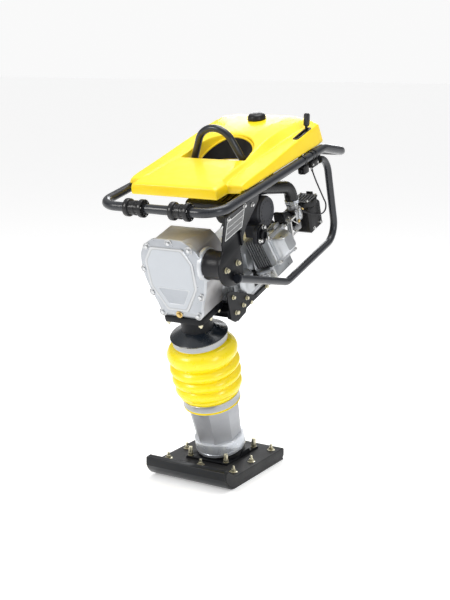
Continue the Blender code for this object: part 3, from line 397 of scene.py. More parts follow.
def smooth_route(points, steps):
    """A smooth curve through the points."""
    points = [Vector(point) for point in points]
    ends = [2 * points[0] - points[1], *points, 2 * points[-1] - points[-2]]
    path = []
    for a, b, c, d in zip(ends, ends[1:], ends[2:], ends[3:]):
        for step in range(steps):
            t = step / steps
            bend = (2 * a - 5 * b + 4 * c - d) * t**2 + (3 * b - a - 3 * c + d) * t**3
            path.append(b + ((c - a) * t + bend) / 2)
    return [*path, points[-1]]


def corners_of(loop):
    """Each point of a closed outline between its two neighbours."""
    points = [Vector(point) for point in loop]
    return zip(points[-1:] + points[:-1], points, points[1:] + points[:1])


def rounded_loop(loop, radius, steps=4):
    """A closed flat outline with its corners rounded."""
    result = []
    for before, here, after in corners_of(loop):
        into, out = here - before, after - here
        reach = min(radius, into.length * 0.45, out.length * 0.45)
        start, end = here - into.normalized() * reach, here + out.normalized() * reach
        for step in range(steps + 1):
            t = step / steps
            point = start * (1 - t) ** 2 + here * 2 * t * (1 - t) + end * t**2
            result.append((point.x, point.y))
    return result


def rect(x0, y0, x1, y1, radius, steps=4):
    return rounded_loop([(x0, y0), (x1, y0), (x1, y1), (x0, y1)], radius, steps)


def mirrored(half):
    """A half outline and its mirror image in x, as one loop."""
    return [*half, *[(-x, z) for x, z in reversed(half)]]


def bolt(bm, place, normal, size, washer, shank, height):
    """A hexagon head with a chamfered top, on a washer if one is given, with the thread's end above it."""
    turn = facing(normal)
    thick = 1.6 if washer else 0
    if washer:
        solid(bm, [(washer * 0.94, 0), (washer, 0.4), (washer, thick - 0.3), (washer * 0.95, thick)], place,
              turn, 28)
    radius = size / 2 * 1.1547
    top = thick + height
    solid(bm, [(radius, thick), (radius, thick + height * 0.85), (radius * 0.86, top)], place, turn, 6, 0.3)
    if shank:
        end = [(size * 0.32, top - 1), (size * 0.32, top + shank * 0.8), (size * 0.24, top + shank)]
        solid(bm, end, place, turn, 16)


def bolts(name, frame, body, finish, *rows):
    """A piece of equal bolts in rows: the places of each row, then what bolt takes after the place."""
    bm = bmesh.new()
    for places, *rest in rows:
        for place in places:
            bolt(bm, place, *rest)
    piece(name, bm, frame, body, finish)


def socket_screw(bm, place, normal, size):
    r, h = size / 2, size * 0.55
    side = [(r, 0), (r, h * 0.85), (r * 0.88, h), (r * 0.5, h), (r * 0.5, h * 0.4)]
    solid(bm, side, place, facing(normal), 20)


# Pieces


def round_edges(obj, width, segments, angle):
    bevel = obj.modifiers.new("edges", "BEVEL")
    bevel.width = width / 1000
    bevel.segments = segments
    bevel.limit_method = "ANGLE"
    bevel.angle_limit = radians(angle)
    obj.modifiers.new("shade", "WEIGHTED_NORMAL").keep_sharp = True


def piece(name, bm, place, body, finish, stands_for=(), slot=None, angle=35, bevel=0, weld=True):
    """Turns a bmesh into a finished piece that rides on a body. It works out a material slot from its finish,
    unless one is given or the piece stands for a CAD node, but doesn't keep it."""
    if weld:
        bmesh.ops.remove_doubles(bm, verts=bm.verts, dist=0.01)
    bmesh.ops.recalc_face_normals(bm, faces=bm.faces)
    mesh = bpy.data.meshes.new(name)
    bm.to_mesh(mesh)
    bm.free()
    mesh.transform(place)
    obj = bpy.data.objects.new(name, mesh)
    bpy.context.scene.collection.objects.link(obj)
    mesh.materials.append(MATERIALS[finish])
    mesh.shade_smooth()
    if bevel:
        round_edges(obj, bevel, 2, 30)
    else:
        mesh.set_sharp_from_angle(angle=radians(angle))
    if body:
        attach(obj, body)
    if stands_for:
        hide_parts(*stands_for)
    if slot is None and body and not stands_for:
        slot = SLOT_OF_FINISH[finish]
    return obj


def cut_out(obj, cutters):
    """Takes the cutters' shapes out of a piece."""
    for cutter in cutters:
        modifier = obj.modifiers.new("cut", "BOOLEAN")
        modifier.object = cutter


def drop(objects):
    for obj in objects:
        bpy.data.objects.remove(obj, do_unlink=True)


def dress(node, finish, bevel, segments=2, angle=30, cutters=(), slot=None):
    """A copy of a CAD node with its flat faces joined again, its edges rounded and a better material."""
    bm = bmesh.new()
    bm.from_mesh(NODES[node].data)
    bmesh.ops.remove_doubles(bm, verts=bm.verts, dist=0.00002)
    bmesh.ops.dissolve_limit(bm, angle_limit=radians(1.2), verts=bm.verts, edges=bm.edges)
    obj = piece(f"{node}_look", bm, METRES, NODES[node]["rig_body"], finish, (node,), slot, weld=False)
    cut_out(obj, cutters)
    round_edges(obj, bevel, segments, angle)
    bake_modifiers(obj)
    drop(cutters)
    obj.data.shade_smooth()
    obj.data.set_sharp_from_angle(angle=radians(38))


def bake_modifiers(obj):
    """Gives the object the mesh that its modifiers make."""
    bpy.context.view_layer.update()
    graph = bpy.context.evaluated_depsgraph_get()
    mesh = bpy.data.meshes.new_from_object(obj.evaluated_get(graph))
    materials = list(obj.data.materials)
    obj.modifiers.clear()
    obj.data = mesh
    mesh.materials.clear()
    for material in materials:
        mesh.materials.append(material)


def keep(node, finish):
    """A CAD node whose shape stays gets a better material."""
    data = NODES[node].data
    data.materials.clear()
    data.materials.append(MATERIALS[finish])
    data.shade_smooth()
    data.set_sharp_from_angle(angle=radians(35))


# The foot


def build_shoe():
    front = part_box("shoe_plate")[0].y * 1000
    slots = []
    for x in (-80, 0, 80):
        bm = bmesh.new()
        prism(bm, rect(x - 31, 9.5, x + 31, 16.5, 3.4), "y", front - 10, front + 18.5)
        slots.append(piece("toe_slot", bm, WORLD, None, "black"))
    dress("shoe_plate", "toe", 2.2, 3, 20, slots, "black_steel")
    dress("shoe_block", "shoe", 2.8, 3, 20)
    dress("leg_flange", "black", 1.2)

    bm = bmesh.new()
    for x, y in [(x, y) for x in (-118, 118) for y in (-92, 14, 139)] + [(0, -92), (0, 155)]:
        bolt(bm, (x, y, 40.2), (0, 0, 1), 12.5, 12.5, 10, 7.5)
    flange_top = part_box("leg_flange")[0].z * 1000 + 6.2
    for place in [(x, y, flange_top) for x in (-64, 64) for y in (-48, 122)]:
        bolt(bm, place, (0, 0, 1), 14.5, 9.5, 0, 9)
        solid(bm, [(6.8, 10), (6.8, 24.5), (5.2, 27.5)], place, "z", 24)
    piece("shoe_bolts", bm, WORLD, "foot", "zinc")

    bm = bmesh.new()
    for x in (-73.5, 73.5):
        prism(bm, [(20, 46.2), (82, 46.2), (70, 60), (30, 60)], "x", x - 3, x + 3)
    piece("flange_ribs", bm, WORLD, "foot", "black", slot="", bevel=0.8)


def build_band(name, node, body, radius, bottom, top):
    """A flat steel band round the bellows' cuff, with its worm screw."""
    half = [(radius, top), (radius + 1.6, top), (radius + 2.5, top - 1), (radius + 1.9, top - 2.8)]
    middle = (bottom + top) / 2
    bm = bmesh.new()
    ring(bm, [*half, *[(r, 2 * middle - z) for r, z in reversed(half)]], sides=96)
    piece(f"{name}_look", bm, LEG, body, "band", (node,), angle=50)

    bm = bmesh.new()
    reach = Vector((radius + 4, 0, middle))
    for angle in (128, 136):
        turn = Matrix.Rotation(radians(angle), 3, "Z")
        for vertex in box(bm, (-3, -3.5, -6.5), (2.5, 3.5, 6.5)):
            vertex.co = turn @ (vertex.co + reach)
    reach.x += 1
    sweep(bm, [Matrix.Rotation(radians(angle), 3, "Z") @ reach for angle in (120, 146)], 2.4, 14)
    piece(f"{name}_screw", bm, LEG, body, "bolt", slot="", bevel=0.5)


def build_leg():
    collar = [(56.5, 70.2), (73, 70.2), (74.8, 69.2), (76.2, 65.5), (77, 60), (77.6, 52), (78, 44),
              (78, 40.5), (77, 39.5), (77, 37.5), (78, 36.5), (78, 30), (76.8, 26.2), (74, 24.6),
              (56.5, 24.6)]
    bm = bmesh.new()
    ring(bm, collar, sides=96)
    piece("collar_look", bm, LEG, "foot", "bright", ("leg_collar",), angle=40)
    dress("leg_casting", "casting", 2.4, 3, 18)
    keep("spring_tube", "steel")
    build_band("lower_band", "lower_bellows_band", "foot", 86.5, 198.5, 221.5)
    build_band("upper_band", "upper_bellows_band", UNIT, 80.8, 406.5, 425.5)


def build_springs():
    """The two coil springs inside the leg, between the foot and the percussion unit, fixed on no body."""
    radius, wire, steps = 29.5, 4.1, 20
    for node, low, high, turns, ends in (
        ("lower_spring", 44.4, 234.6, 7, ("foot", UNIT)),
        ("upper_spring", 262.4, 365.6, 4, (UNIT, "foot")),
    ):
        count = turns * steps
        path = []
        for index in range(count + 1):
            share = min(max((index - steps * 0.75) / (count - steps * 1.5), 0), 1)
            angle = 2 * pi * index / steps
            path.append((radius * cos(angle), radius * sin(angle),
                         low + wire + share * (high - low - 2 * wire)))
        bm = bmesh.new()
        sweep(bm, path, wire, 12)
        coil = piece(f"{node}_look", bm, LEG, None, "steel", angle=60)
        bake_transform(coil)
        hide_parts(node)


def build_bellows():
    """One wall with a cuff at each end and four round folds with narrow grooves, from the top down."""
    folds = ((236, 272, 103), (272, 308, 106.5), (308, 344, 107.8), (344, 398, 108))
    groove, wall, cuff = 94, 2.6, 83.4
    outer = [(80.6, 426.2), (80.6, 404), (84.5, 403), (91.5, 401.8)]
    for low, high, peak in reversed(folds):
        for share in [step / 14 for step in range(2 if low == folds[-1][0] else 0, 14)]:
            outer.append((groove + (peak - groove) * sin(pi * share) ** 0.85, high + (low - high) * share))
    outer += [(groove - 0.8, 236), (94, 231), (89, 227.5), (86.4, 225.5), (86.4, 195), (88.8, 194.4),
              (89, 193)]
    inner = [(77.9, 426.2), (77.9, 404), *[(radius - wall, height) for radius, height in outer[2:-4]]]
    inner += [(cuff, 224.5), (cuff, 195), (cuff, 194.4), (cuff, 193)]
    bm = bmesh.new()
    ring(bm, outer + inner[::-1], sides=112)
    look = piece("bellows_look", bm, LEG, None, "yellow_bellows", angle=60)
    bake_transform(look)
    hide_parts("bellows")


# The percussion unit


def build_guide():
    disc = [(48.2, 424), (72.4, 424), (72.4, 404), (77.5, 404), (77.5, 428.3), (86.5, 428.3), (88, 429.1),
            (88.2, 430.3), (86.8, 432), (53, 447), (50, 450), (48.2, 450.5)]
    bm = bmesh.new()
    ring(bm, disc, sides=96)
    piece("disc_look", bm, LEG, "percussion_unit", "disc", ("bellows_disc",), angle=40)
    tube = [(44.7, 262.2), (47.5, 262.2), (48, 263), (48, 499.6), (44.7, 499.6)]
    bm = bmesh.new()
    ring(bm, tube, sides=96)
    piece("guide_tube_look", bm, LEG, "percussion_unit", "black", ("guide_tube",))
    dress("case_flange", "black", 1)
    places = [(side * x, r, 499.7) for x, r in ((56, -59), (58.5, 40), (60, -10)) for side in (-1, 1)]
    bolts("case_flange_bolts", LEG, UNIT, "zinc", (places, (0, 0, -1), 11, 7.8, 4, 7))


CASE_OUTLINE = mirrored([(70, 520.3), (73, 550), (92, 600), (104, 648), (105, 690), (102, 717), (89, 741),
                         (71, 757), (47, 771)])
RIGHT_COVER_BOLTS = ((71, 744), (94.5, 672), (81.5, 597.5), (61, 533))
COVER_BOLTS = ((6, 760.5), *RIGHT_COVER_BOLTS, *[(-x, z) for x, z in RIGHT_COVER_BOLTS])


def shrink(loop, gap):
    """A convex anticlockwise outline moved inward by the gap."""
    result = []
    for before, here, after in corners_of(loop):
        into, out = (here - before).normalized(), (after - here).normalized()
        first, second = Vector((-into.y, into.x)), Vector((-out.y, out.x))
        middle = (first + second).normalized()
        result.append(tuple(here + middle * gap / max(middle.dot(first), 0.3)))
    return result


def stack(bm, *levels):
    """Skins outlines with the same count of points, each given with its own place along y."""
    skin(bm, [[bm.verts.new((x, y, z)) for x, z in loop] for loop, y in levels])


def panel_outline(grow=0):
    """The raised panel of the cover: a wide top that narrows to a short foot, in x and up-the-leg numbers."""
    half = [(30 + grow * 0.7, 555.5 - grow), (71.5 + grow, 625), (73.5 + grow, 703),
            (48 + grow * 0.8, 742 + grow)]
    return rounded_loop(mirrored(half), 7, 5)


def build_cover():
    """The gearcase cover: a rim with bolt bosses, a raised panel with a border and a blank badge."""
    def level(inset, radius):
        return rounded_loop(shrink(CASE_OUTLINE, inset), radius, 3)

    front = AXES["-y"]
    rim = rounded_loop(CASE_OUTLINE, 10, 3)
    bm = bmesh.new()
    stack(bm, (rim, -60.2), (rim, -63.5), (level(0.8, 10), -64.8), (level(3, 9), -65.5),
          (level(21, 6), -74.2), (level(23.5, 6), -74.6))
    for x, z in COVER_BOLTS:
        solid(bm, [(10, -12), (9.8, -1.2), (8.8, 0)], (x, -68.6, z), front, 28)
    piece("cover_look", bm, LEG, UNIT, "silver", ("gearcase_cover",), "cast_silver", angle=28)
    bm = bmesh.new()
    for x, z in COVER_BOLTS:
        ring(bm, [(9.8, -1), (12.4, -1), (12.8, 0.2), (12.4, 1.2), (10.2, 1.2)], (x, -68.8, z), front, 32)
    piece("cover_bolt_rings", bm, LEG, UNIT, "roof")

    bm = bmesh.new()
    stack(bm, (panel_outline(8.5), -73.5), (panel_outline(8.5), -76.2), (panel_outline(7.2), -77.8),
          (panel_outline(2.2), -78), (panel_outline(), -77))
    piece("cover_border", bm, LEG, UNIT, "band", angle=40)

    bm = bmesh.new()
    stack(bm, (panel_outline(-0.5), -75.5), (panel_outline(-0.5), -77.35))
    piece("cover_panel", bm, LEG, UNIT, "panel")

    badge = rounded_loop(mirrored([(26.5, 568), (49, 608.5), (55.5, 621)]), 4, 4)
    bm = bmesh.new()
    stack(bm, (badge, -76.5), (badge, -77.9), (shrink(badge, 1), -78.2), (shrink(badge, 2.6), -78.2),
          (shrink(badge, 3.2), -77.6))
    piece("blank_badge", bm, LEG, UNIT, "silver", angle=40)

    bm = bmesh.new()
    for x, z in COVER_BOLTS:
        bolt(bm, (x, -68.2, z), (0, -1, 0), 10.5, 8, 0, 4.2)
    piece("cover_screws", bm, LEG, UNIT, "band", slot="bright_steel")

    bm = bmesh.new()
    solid(bm, [(10.5, 0), (10.8, 0.8), (10, 2)], (0, -74.8, 534.5), front, 28)
    bolt(bm, (0, -76.6, 534.5), (0, -1, 0), 11.5, 0, 0, 5.5)
    piece("drain_plug_look", bm, LEG, UNIT, "brass", ("drain_plug",))


def build_case():
    dress("gearcase", "roof", 4.5, 3, 22)
    bm = bmesh.new()
    outer = rounded_loop([(x, min(z, 760)) for x, z in shrink(CASE_OUTLINE, 0.6)], 10, 3)
    narrow = 0.94 * 0.97
    inner = [(x * narrow, min(z if z < 600 else z - 5.2, 757)) for x, z in CASE_OUTLINE]
    stack(bm, (outer, -59.8), (outer, -51.5), (shrink(outer, 1.2), -50), (rounded_loop(inner, 10, 3), -44))
    piece("case_rim", bm, LEG, UNIT, "silver", angle=30)

    r = 45.5
    bm = bmesh.new()
    solid(bm, [(r + 5, 0), (r + 4, 7.5), (r + 1.2, 10.5), (r, 11.2)], (93.5, -28, 685), "x", 72)
    piece("mount_boss_ring", bm, LEG, UNIT, "silver")
    for name, axis, place, length, r in (
        ("right_mount", "x", (105.3, -28, 685), 60.7, 44),
        ("left_mount", "-x", (-112.3, 100, 620), 53.7, 30),
    ):
        half = [(r, 0), (r + 0.3, 4), (r - 1, 7), (r * 0.94, 18)]
        bm = bmesh.new()
        solid(bm, [*half, *[(radius, length - along) for radius, along in reversed(half)]], place, axis, 72)
        piece(f"{name}_look", bm, LEG, UNIT, "rubber", (f"{name}_rubber",))

    dress("clutch_housing", "engine", 1.5)
    dress("engine_bracket", "black", 1.6, 2, 25)
    side = [(100, 72, 474), (100, 150, 466.5), (100, 255, 466.5)]
    under = [(x, r, 451.9) for x in (-55, 45) for r in (135, 275)]
    bolts("bracket_bolts", LEG, UNIT, "zinc", (side, (1, 0, 0), 11, 7.5, 0, 6),
          (under, (0, 0, -1), 12, 8.5, 4, 7))
    ear = [(-112.3, 85, 475), (-112.3, 115, 475)]
    bolts("left_ear_bolts", LEG, UNIT, "zinc", (ear, (-1, 0, 0), 10, 7, 0, 6))


def build_gears():
    for node in ("crank_gear", "pinion_and_drum", "clutch_rotor", "connecting_rod", "ram_piston"):
        keep(node, "steel")


# The engine


def build_cylinder():
    """The finned barrel and head: thin fins round a core, the shroud's face and the bolts."""
    bm = bmesh.new()
    prism(bm, [(83.6, -36), (141.2, -36), (141.2, 36), (83.6, 36)], "y", -36, 36)
    piece("cylinder_core", bm, ENGINE, UNIT, "black", ("finned_cylinder",), bevel=0.4)
    bm = bmesh.new()
    for start in [85 + k * 8.4 for k in range(7)]:
        prism(bm, rect(-46, -46, 46, 52, 12, 5), "x", start, start + 2.2)
    piece("cylinder_fins", bm, ENGINE, UNIT, "fins", bevel=0.5)

    dress("cylinder_head", "engine", 1.8, 2, 25)
    bm = bmesh.new()
    for start in [144 + k * 6.8 for k in range(4)]:
        for fin in (
            [(10, 49.5), (45, 49.5), (45, 61), (10, 58)],
            [(-46, 49.5), (-22, 49.5), (-22, 56.5), (-46, 59)],
        ):
            prism(bm, rounded_loop(fin, 4, 3), "x", start, start + 2.4)
    piece("head_fins", bm, ENGINE, UNIT, "engine", bevel=0.5)

    front, r = -62.2, 9.5
    plug = [(r + 2, 0), (r + 1.5, 2), (r * 0.7, 4.2), (r * 0.66, 3)]
    face = [(98.5, -68), (119, -81.5), (150, -72.5), (151.5, -50.5), (100.5, -50.5)]
    bm = bmesh.new()
    solid(bm, plug, (123, front, -64), "-y", 40)
    prism(bm, rounded_loop(face, 4), "y", front - 1.2, front + 1)
    piece("shroud_face", bm, ENGINE, UNIT, "silver", bevel=0.6)
    shroud = [(103.5, front - 1, -60), (147, front - 1, -56)]
    head = [(140, y, z) for y in (-30, 30) for z in (-40, 42)]
    bolts("shroud_bolts", ENGINE, UNIT, "bolt", (shroud, (0, -1, 0), 8, 5.5, 0, 5),
          (head, (-1, 0, 0), 9, 0, 0, 6))


def build_valve_cover():
    corners = [(y, z) for y in (-45, 45) for z in (-37, 41)]
    bm = bmesh.new()
    prism(bm, rect(-47.5, -39, 47.5, 43, 6), "x", 172.4, 176)
    for place in [(0, y, z) for y, z in corners]:
        solid(bm, [(8.2, 172.4), (8.2, 176.8), (7.4, 177.6)], place, "x", 28)
    piece("valve_cover_flange", bm, ENGINE, UNIT, "silver", bevel=0.6)

    rings = []
    bm = bmesh.new()
    for height, grow, radius in ((175.5, 2, 9), (184, 1, 9), (193, -2, 9), (205, -10, 8), (208.5, -13, 7)):
        loop = rect(-36 - grow, -31 - grow, 36 + grow, 35 + grow, radius)
        rings.append([bm.verts.new((height, y, z)) for y, z in loop])
    skin(bm, rings)
    piece("valve_cover_look", bm, ENGINE, UNIT, "engine", ("valve_cover",), "cast_silver", angle=24)
    places = [(177.4, y, z) for y, z in corners]
    bolts("valve_cover_bolts", ENGINE, UNIT, "bolt", (places, (1, 0, 0), 8.5, 6, 0, 5.8))

    route = [(155, 61, -20), (155, 78, -20), (150, 88, -10), (130, 88, 20), (105, 80, 50), (80, 70, 60)]
    bm = bmesh.new()
    sweep(bm, smooth_route(route, 6), 3.4, 16)
    piece("spark_lead", bm, ENGINE, UNIT, "rubber")
    dress("spark_plug_cap", "rubber", 2.5)


def build_crankcase():
    dress("crankcase", "engine", 2.2, 2, 25)
    bm = bmesh.new()
    face = 66.5
    for r in (135, 175, 215, 255, 295, 330):
        prism(bm, rect(r - 1.8, 500.5, r + 1.8, 595, 1), "x", face - 2, face + 3.5)
    piece("crankcase_ribs", bm, LEG, UNIT, "engine", bevel=0.6)
    gusset = [(30, 470), (64, 448.6), (113, 452.5), (120, 464.5), (193, 466), (112, 520), (46, 559),
              (30, 556)]
    bm = bmesh.new()
    prism(bm, rounded_loop(gusset, 4, 3), "x", 102.2, 104.6)
    piece("bracket_gusset", bm, LEG, UNIT, "black", bevel=0.6)
    on_gusset = [(104.7, r, u) for r, u in ((58, 532), (60, 480), (104, 482), (128, 493.5))]
    on_case = [(66.8, r, u) for r, u in ((225, 491.5), (262, 491.5), (300, 491.5), (327, 540))]
    bolts("crankcase_bolts", LEG, UNIT, "zinc", (on_gusset, (1, 0, 0), 9.5, 6.8, 0, 6),
          (on_case, (1, 0, 0), 10.5, 7.2, 0, 6))

    bm = bmesh.new()
    solid(bm, [(13.5, 0), (13.5, 12), (10.5, 15.5), (10.5, 21)], (66, 235, 515), "x", 36)
    box(bm, (86.5, 233.5, 508), (92.5, 236.5, 522))
    piece("oil_filler_plug", bm, LEG, UNIT, "plastic", bevel=0.6)
    keep("crankshaft_flywheel", "steel")


def build_exhaust():
    dress("muffler", "muffler", 4.5, 3, 25)
    bm = bmesh.new()
    r, u = 262, 719
    for x in (137.6, 138.6):
        solid(bm, [(40.5, x), (42.5, x + 0.3), (43.5, x + 1.2)], (0, r, u), "x", 56)
    for angle in [2 * pi * k / 16 for k in range(16)]:
        place = (139.5, r + 31 * cos(angle), u + 31 * sin(angle))
        lathe(bm, [(0, 0), (3.2, 0), (2.6, 1.2), (0, 1.4)], place, "x", 14)
    piece("muffler_end_plate", bm, LEG, UNIT, "muffler")

    x, r, u = 149, 196, 674
    outline = [(r - 30, u - 16), (r + 4, u - 33), (r + 32, u - 6), (r + 20, u + 30), (r - 18, u + 26)]
    outlet = [(17, 4), (17, 10), (15, 12), (11, 12), (11, 6)]
    bm = bmesh.new()
    prism(bm, rounded_loop(outline, 10, 5), "x", x - 1, x + 4)
    solid(bm, outlet, (x, r, u), "x", 40)
    box(bm, (118, 196, 652), (146.5, 229, 692))
    piece("exhaust_flange_look", bm, LEG, UNIT, "black", bevel=0.8)
    stud = [(0, 4), (7.2, 4), (7.2, 6.2), (5.2, 6.6), (5.2, 12.5), (4, 14), (0, 14.5)]
    bm = bmesh.new()
    for place in ((x, 203.5, 696.5), (x, 176, 664.5), (x, 214.5, 656)):
        lathe(bm, stud, place, "x", 24)
    piece("exhaust_studs", bm, LEG, UNIT, "bolt")


def build_intake():
    """The elbow from the air cleaner, its clamp, and the manifold to the cylinder."""
    corners = [(106, 231, 803), (122, 300, 778), (145, 404.5, 737), (145, 405, 680.3)]
    path = rounded_path(corners, 44, 14)
    bm = bmesh.new()
    sweep(bm, path, 20.3, 48)
    for share in (0.10, 0.20):
        bead = [(20, -3), (21.6, -1.8), (21.6, 1.8), (20, 3)]
        solid(bm, bead, path[0].lerp(path[1], share), facing(path[1] - path[0]), 48)
    piece("intake_elbow_look", bm, LEG, UNIT, "hose", ("intake_elbow",), angle=60)
    band = [(20.6, 684), (21.9, 684), (22.4, 685), (21.9, 686.2), (21.9, 692.8), (22.4, 694), (21.9, 695),
            (20.6, 695)]
    bm = bmesh.new()
    ring(bm, band, (145, 405, 0))
    for vertex in box(bm, (156, 380, 684.5), (170, 386.5, 694.5)):
        vertex.co.x += (vertex.co.y - 383) * 0.4
    sweep(bm, [(152.5, 381.5, 689.5), (176, 384.5, 689.5)], 2.8, 16)
    piece("hose_clamp", bm, LEG, UNIT, "bright", bevel=0.5)

    bm = bmesh.new()
    sweep(bm, smooth_route([(138, 322, 668), (141, 350, 662), (144, 386, 640)], 6), 14.5, 32)
    prism(bm, rect(120, 615, 164, 664, 10, 5), "y", 380, 385.5)
    prism(bm, rect(121, 645, 158, 686, 10, 5), "y", 325.5, 330)
    piece("intake_manifold", bm, LEG, UNIT, "plastic", bevel=0.6)


def build_carburettor():
    dress("carburettor", "dark_alloy", 1.4, 2, 25)
    bm = bmesh.new()
    for place, high in (((166.2, 392, 630), 3.5), ((166.2, 421, 656), 5)):
        solid(bm, [(4.8, 0), (4.8, high), (3.6, high + 1.2)], place, "x", 20)
    solid(bm, [(8.5, 0), (8.5, 4), (6.5, 6)], (144, 408, 597), "-z", 24)
    piece("carburettor_screws", bm, LEG, UNIT, "brass")
    rod = [(170, 386, 622), (172.5, 372, 632), (170, 352, 650), (164, 338, 668)]
    turns = [2 * pi * k / 6.4 for k in range(60)]
    coil = [(171.5 + 3.4 * cos(angle), 372 - k * 0.62, 608 + 3.4 * sin(angle))
            for k, angle in enumerate(turns)]
    bm = bmesh.new()
    sweep(bm, smooth_route(rod, 5), 1.3, 12)
    sweep(bm, coil, 0.6, 8)
    box(bm, (160, 330, 598), (174.5, 337, 660))
    box(bm, (166, 330, 655), (174.5, 366, 661))
    piece("governor_linkage", bm, LEG, UNIT, "bolt", bevel=0.4)
    dress("carb_throttle_arm", "bright", 0.4, 1)
    bm = bmesh.new()
    socket_screw(bm, (169.5, 405, 640), (1, 0, 0), 6.5)
    lathe(bm, [(0, 0), (3, 0), (3, 4.2), (0, 4.6)], (169.5, 405, 660), "x", 16)
    piece("throttle_arm_screw", bm, LEG, "throttle_arm", "bolt")


def build_air_box():
    dress("air_box", "plastic", 2.2, 3, 25)
    lid = [(112, 451.5), (176, 451.5), (178, 520), (112, 520)]
    bm = bmesh.new()
    prism(bm, rounded_loop(lid, 14, 6), "z", 659.8, 664)
    for x in [122 + k * 10.5 for k in range(5)]:
        prism(bm, rect(x, 462, x + 3, 509, 1), "z", 663.5, 665.8)
    for r in (444.5, 525):
        prism(bm, rect(132, r - 2, 154, r + 3, 1), "z", 632, 668)
    piece("air_box_lid", bm, LEG, UNIT, "plastic", bevel=1)
    bm = bmesh.new()
    for x, r in ((119, 458), (169, 458), (119, 513), (171, 513)):
        socket_screw(bm, (x, r, 664), (0, 0, 1), 6.8)
    for r in (462, 508):
        bolt(bm, (178, r, 574), (1, 0, 0), 7.5, 5.5, 0, 4)
    piece("air_box_screws", bm, LEG, UNIT, "bolt")

    dress("air_cleaner", "plastic", 3, 3, 25)
    bm = bmesh.new()
    for x in [-20 + k * 18.5 for k in range(9)]:
        prism(bm, rect(104, 819.6, 221, 822.5, 2), "x", x, x + 5)
    piece("air_cleaner_ribs", bm, LEG, UNIT, "plastic", bevel=0.6)


def build_starter():
    dress("fan_shroud", "plastic", 1.8, 2, 30)
    place = Vector((0, 405, SHAFT_U))
    shell = [(0, 30), (36, 30), (41, 28.5), (65, 18), (72.5, 8), (75, 0), (70, 0), (62, 14), (38, 25),
             (0, 25)]
    bm = bmesh.new()
    lathe(bm, shell, place, "y", 72)
    piece("recoil_starter_look", bm, LEG, UNIT, "plastic", ("recoil_starter",), angle=25)
    bm = bmesh.new()
    # The raised bars are a dead matte black: painted shade that stands for the vent's open slots.
    for angle in [2 * pi * k / 24 for k in range(24)]:
        along, across = Vector((cos(angle), 0, sin(angle))), Vector((-sin(angle), 0, cos(angle))) * 2.2
        base = [place + along * 43 + Vector((0, 27.7, 0)), place + along * 63.5 + Vector((0, 19, 0))]
        outline = [base[0] - across, base[0] + across, base[1] + across, base[1] - across]
        skin(bm, [[bm.verts.new(point + Vector((0, lift, 0))) for point in outline] for lift in (0, 1.6)])
    solid(bm, [(29, 30), (29, 31.8), (27, 33)], place, "y", 56)
    piece("starter_louvres", bm, LEG, UNIT, "gap_shade", bevel=0.4)
    angles = [radians(45 + 90 * k) for k in range(4)]
    places = [(84 * cos(angle), 404.7, SHAFT_U + 84 * sin(angle)) for angle in angles]
    bolts("starter_bolts", LEG, UNIT, "bolt", (places, (0, 1, 0), 8.5, 6.2, 0, 5))

    grip = rect(-9, -7.8, 9, 7.8, 6, 5)
    x, r, u = -95, 413, 566
    half = ((18, 0.86), (15, 1.0), (6, 0.93))
    levels = [*[(u - lift, share) for lift, share in half], (u, 0.90),
              *[(u + lift, share) for lift, share in half[::-1]]]
    bm = bmesh.new()
    skin(bm, [[bm.verts.new((x + a * share, r + b * share, level)) for a, b in grip]
              for level, share in levels])
    piece("starter_grip_look", bm, LEG, "starter_handle", "rubber", ("starter_grip",), angle=50)
    rope = [Vector((-66 - k, r, u)) for k in range(25)]
    bm = bmesh.new()
    sweep(bm, rope, 1.8, 12)
    rope_look = piece("starter_rope", bm, LEG, None, "rubber", angle=60, slot="black_rubber")
    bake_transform(rope_look)


# The handle, its rollers, bale, side plates and guards


RAIL_X = 200
GAP = 0.3


def tube_piece(name, path, radius, place):
    bm = bmesh.new()
    sweep(bm, path, radius, 36)
    piece(f"{name}_look", bm, place, "handle", "charcoal", (name,), "charcoal_steel", angle=60)


def weld_bead(bm, centre, normal, radius, width):
    """A ring of overlapping weld ripples round a tube's end."""
    turn, centre, steps = facing(normal), Vector(centre), 78
    rings = []
    for k in range(steps):
        angle = 2 * pi * k / steps
        swell = width * (0.82 + 0.18 * abs(sin(pi * k / 2)))
        section = [(radius + swell * cos(pi * j / 4), swell * sin(pi * j / 4)) for j in range(8)]
        rings.append([bm.verts.new(centre + turn @ Vector((r * cos(angle), r * sin(angle), z)))
                      for r, z in section])
    skin(bm, [*rings, rings[0]], caps=False)


def build_handle():
    tube, seam = 13.5, 80
    knee, bar = Vector((633.5, 0)), Vector((790, -58))
    joint = knee.lerp(bar, 0.32)
    end = joint - (bar - knee).normalized() * GAP
    front = [(-RAIL_X, seam, 0), (-RAIL_X, 0, 0), (RAIL_X, 0, 0), (RAIL_X, seam, 0)]
    tube_piece("handle_front", rounded_path(front, 62, 16), tube, HANDLE)
    rear = [(-RAIL_X, *joint), (-RAIL_X, *bar), (RAIL_X, *bar), (RAIL_X, *joint)]
    tube_piece("handle_rear", rounded_path(rear, 50, 16), tube, HANDLE)
    for x, name in ((-RAIL_X, "handle_rail_left"), (RAIL_X, "handle_rail_right")):
        tube_piece(name, rounded_path([(x, seam + GAP, 0), (x, *knee), (x, *end)], 80, 8), tube, HANDLE)


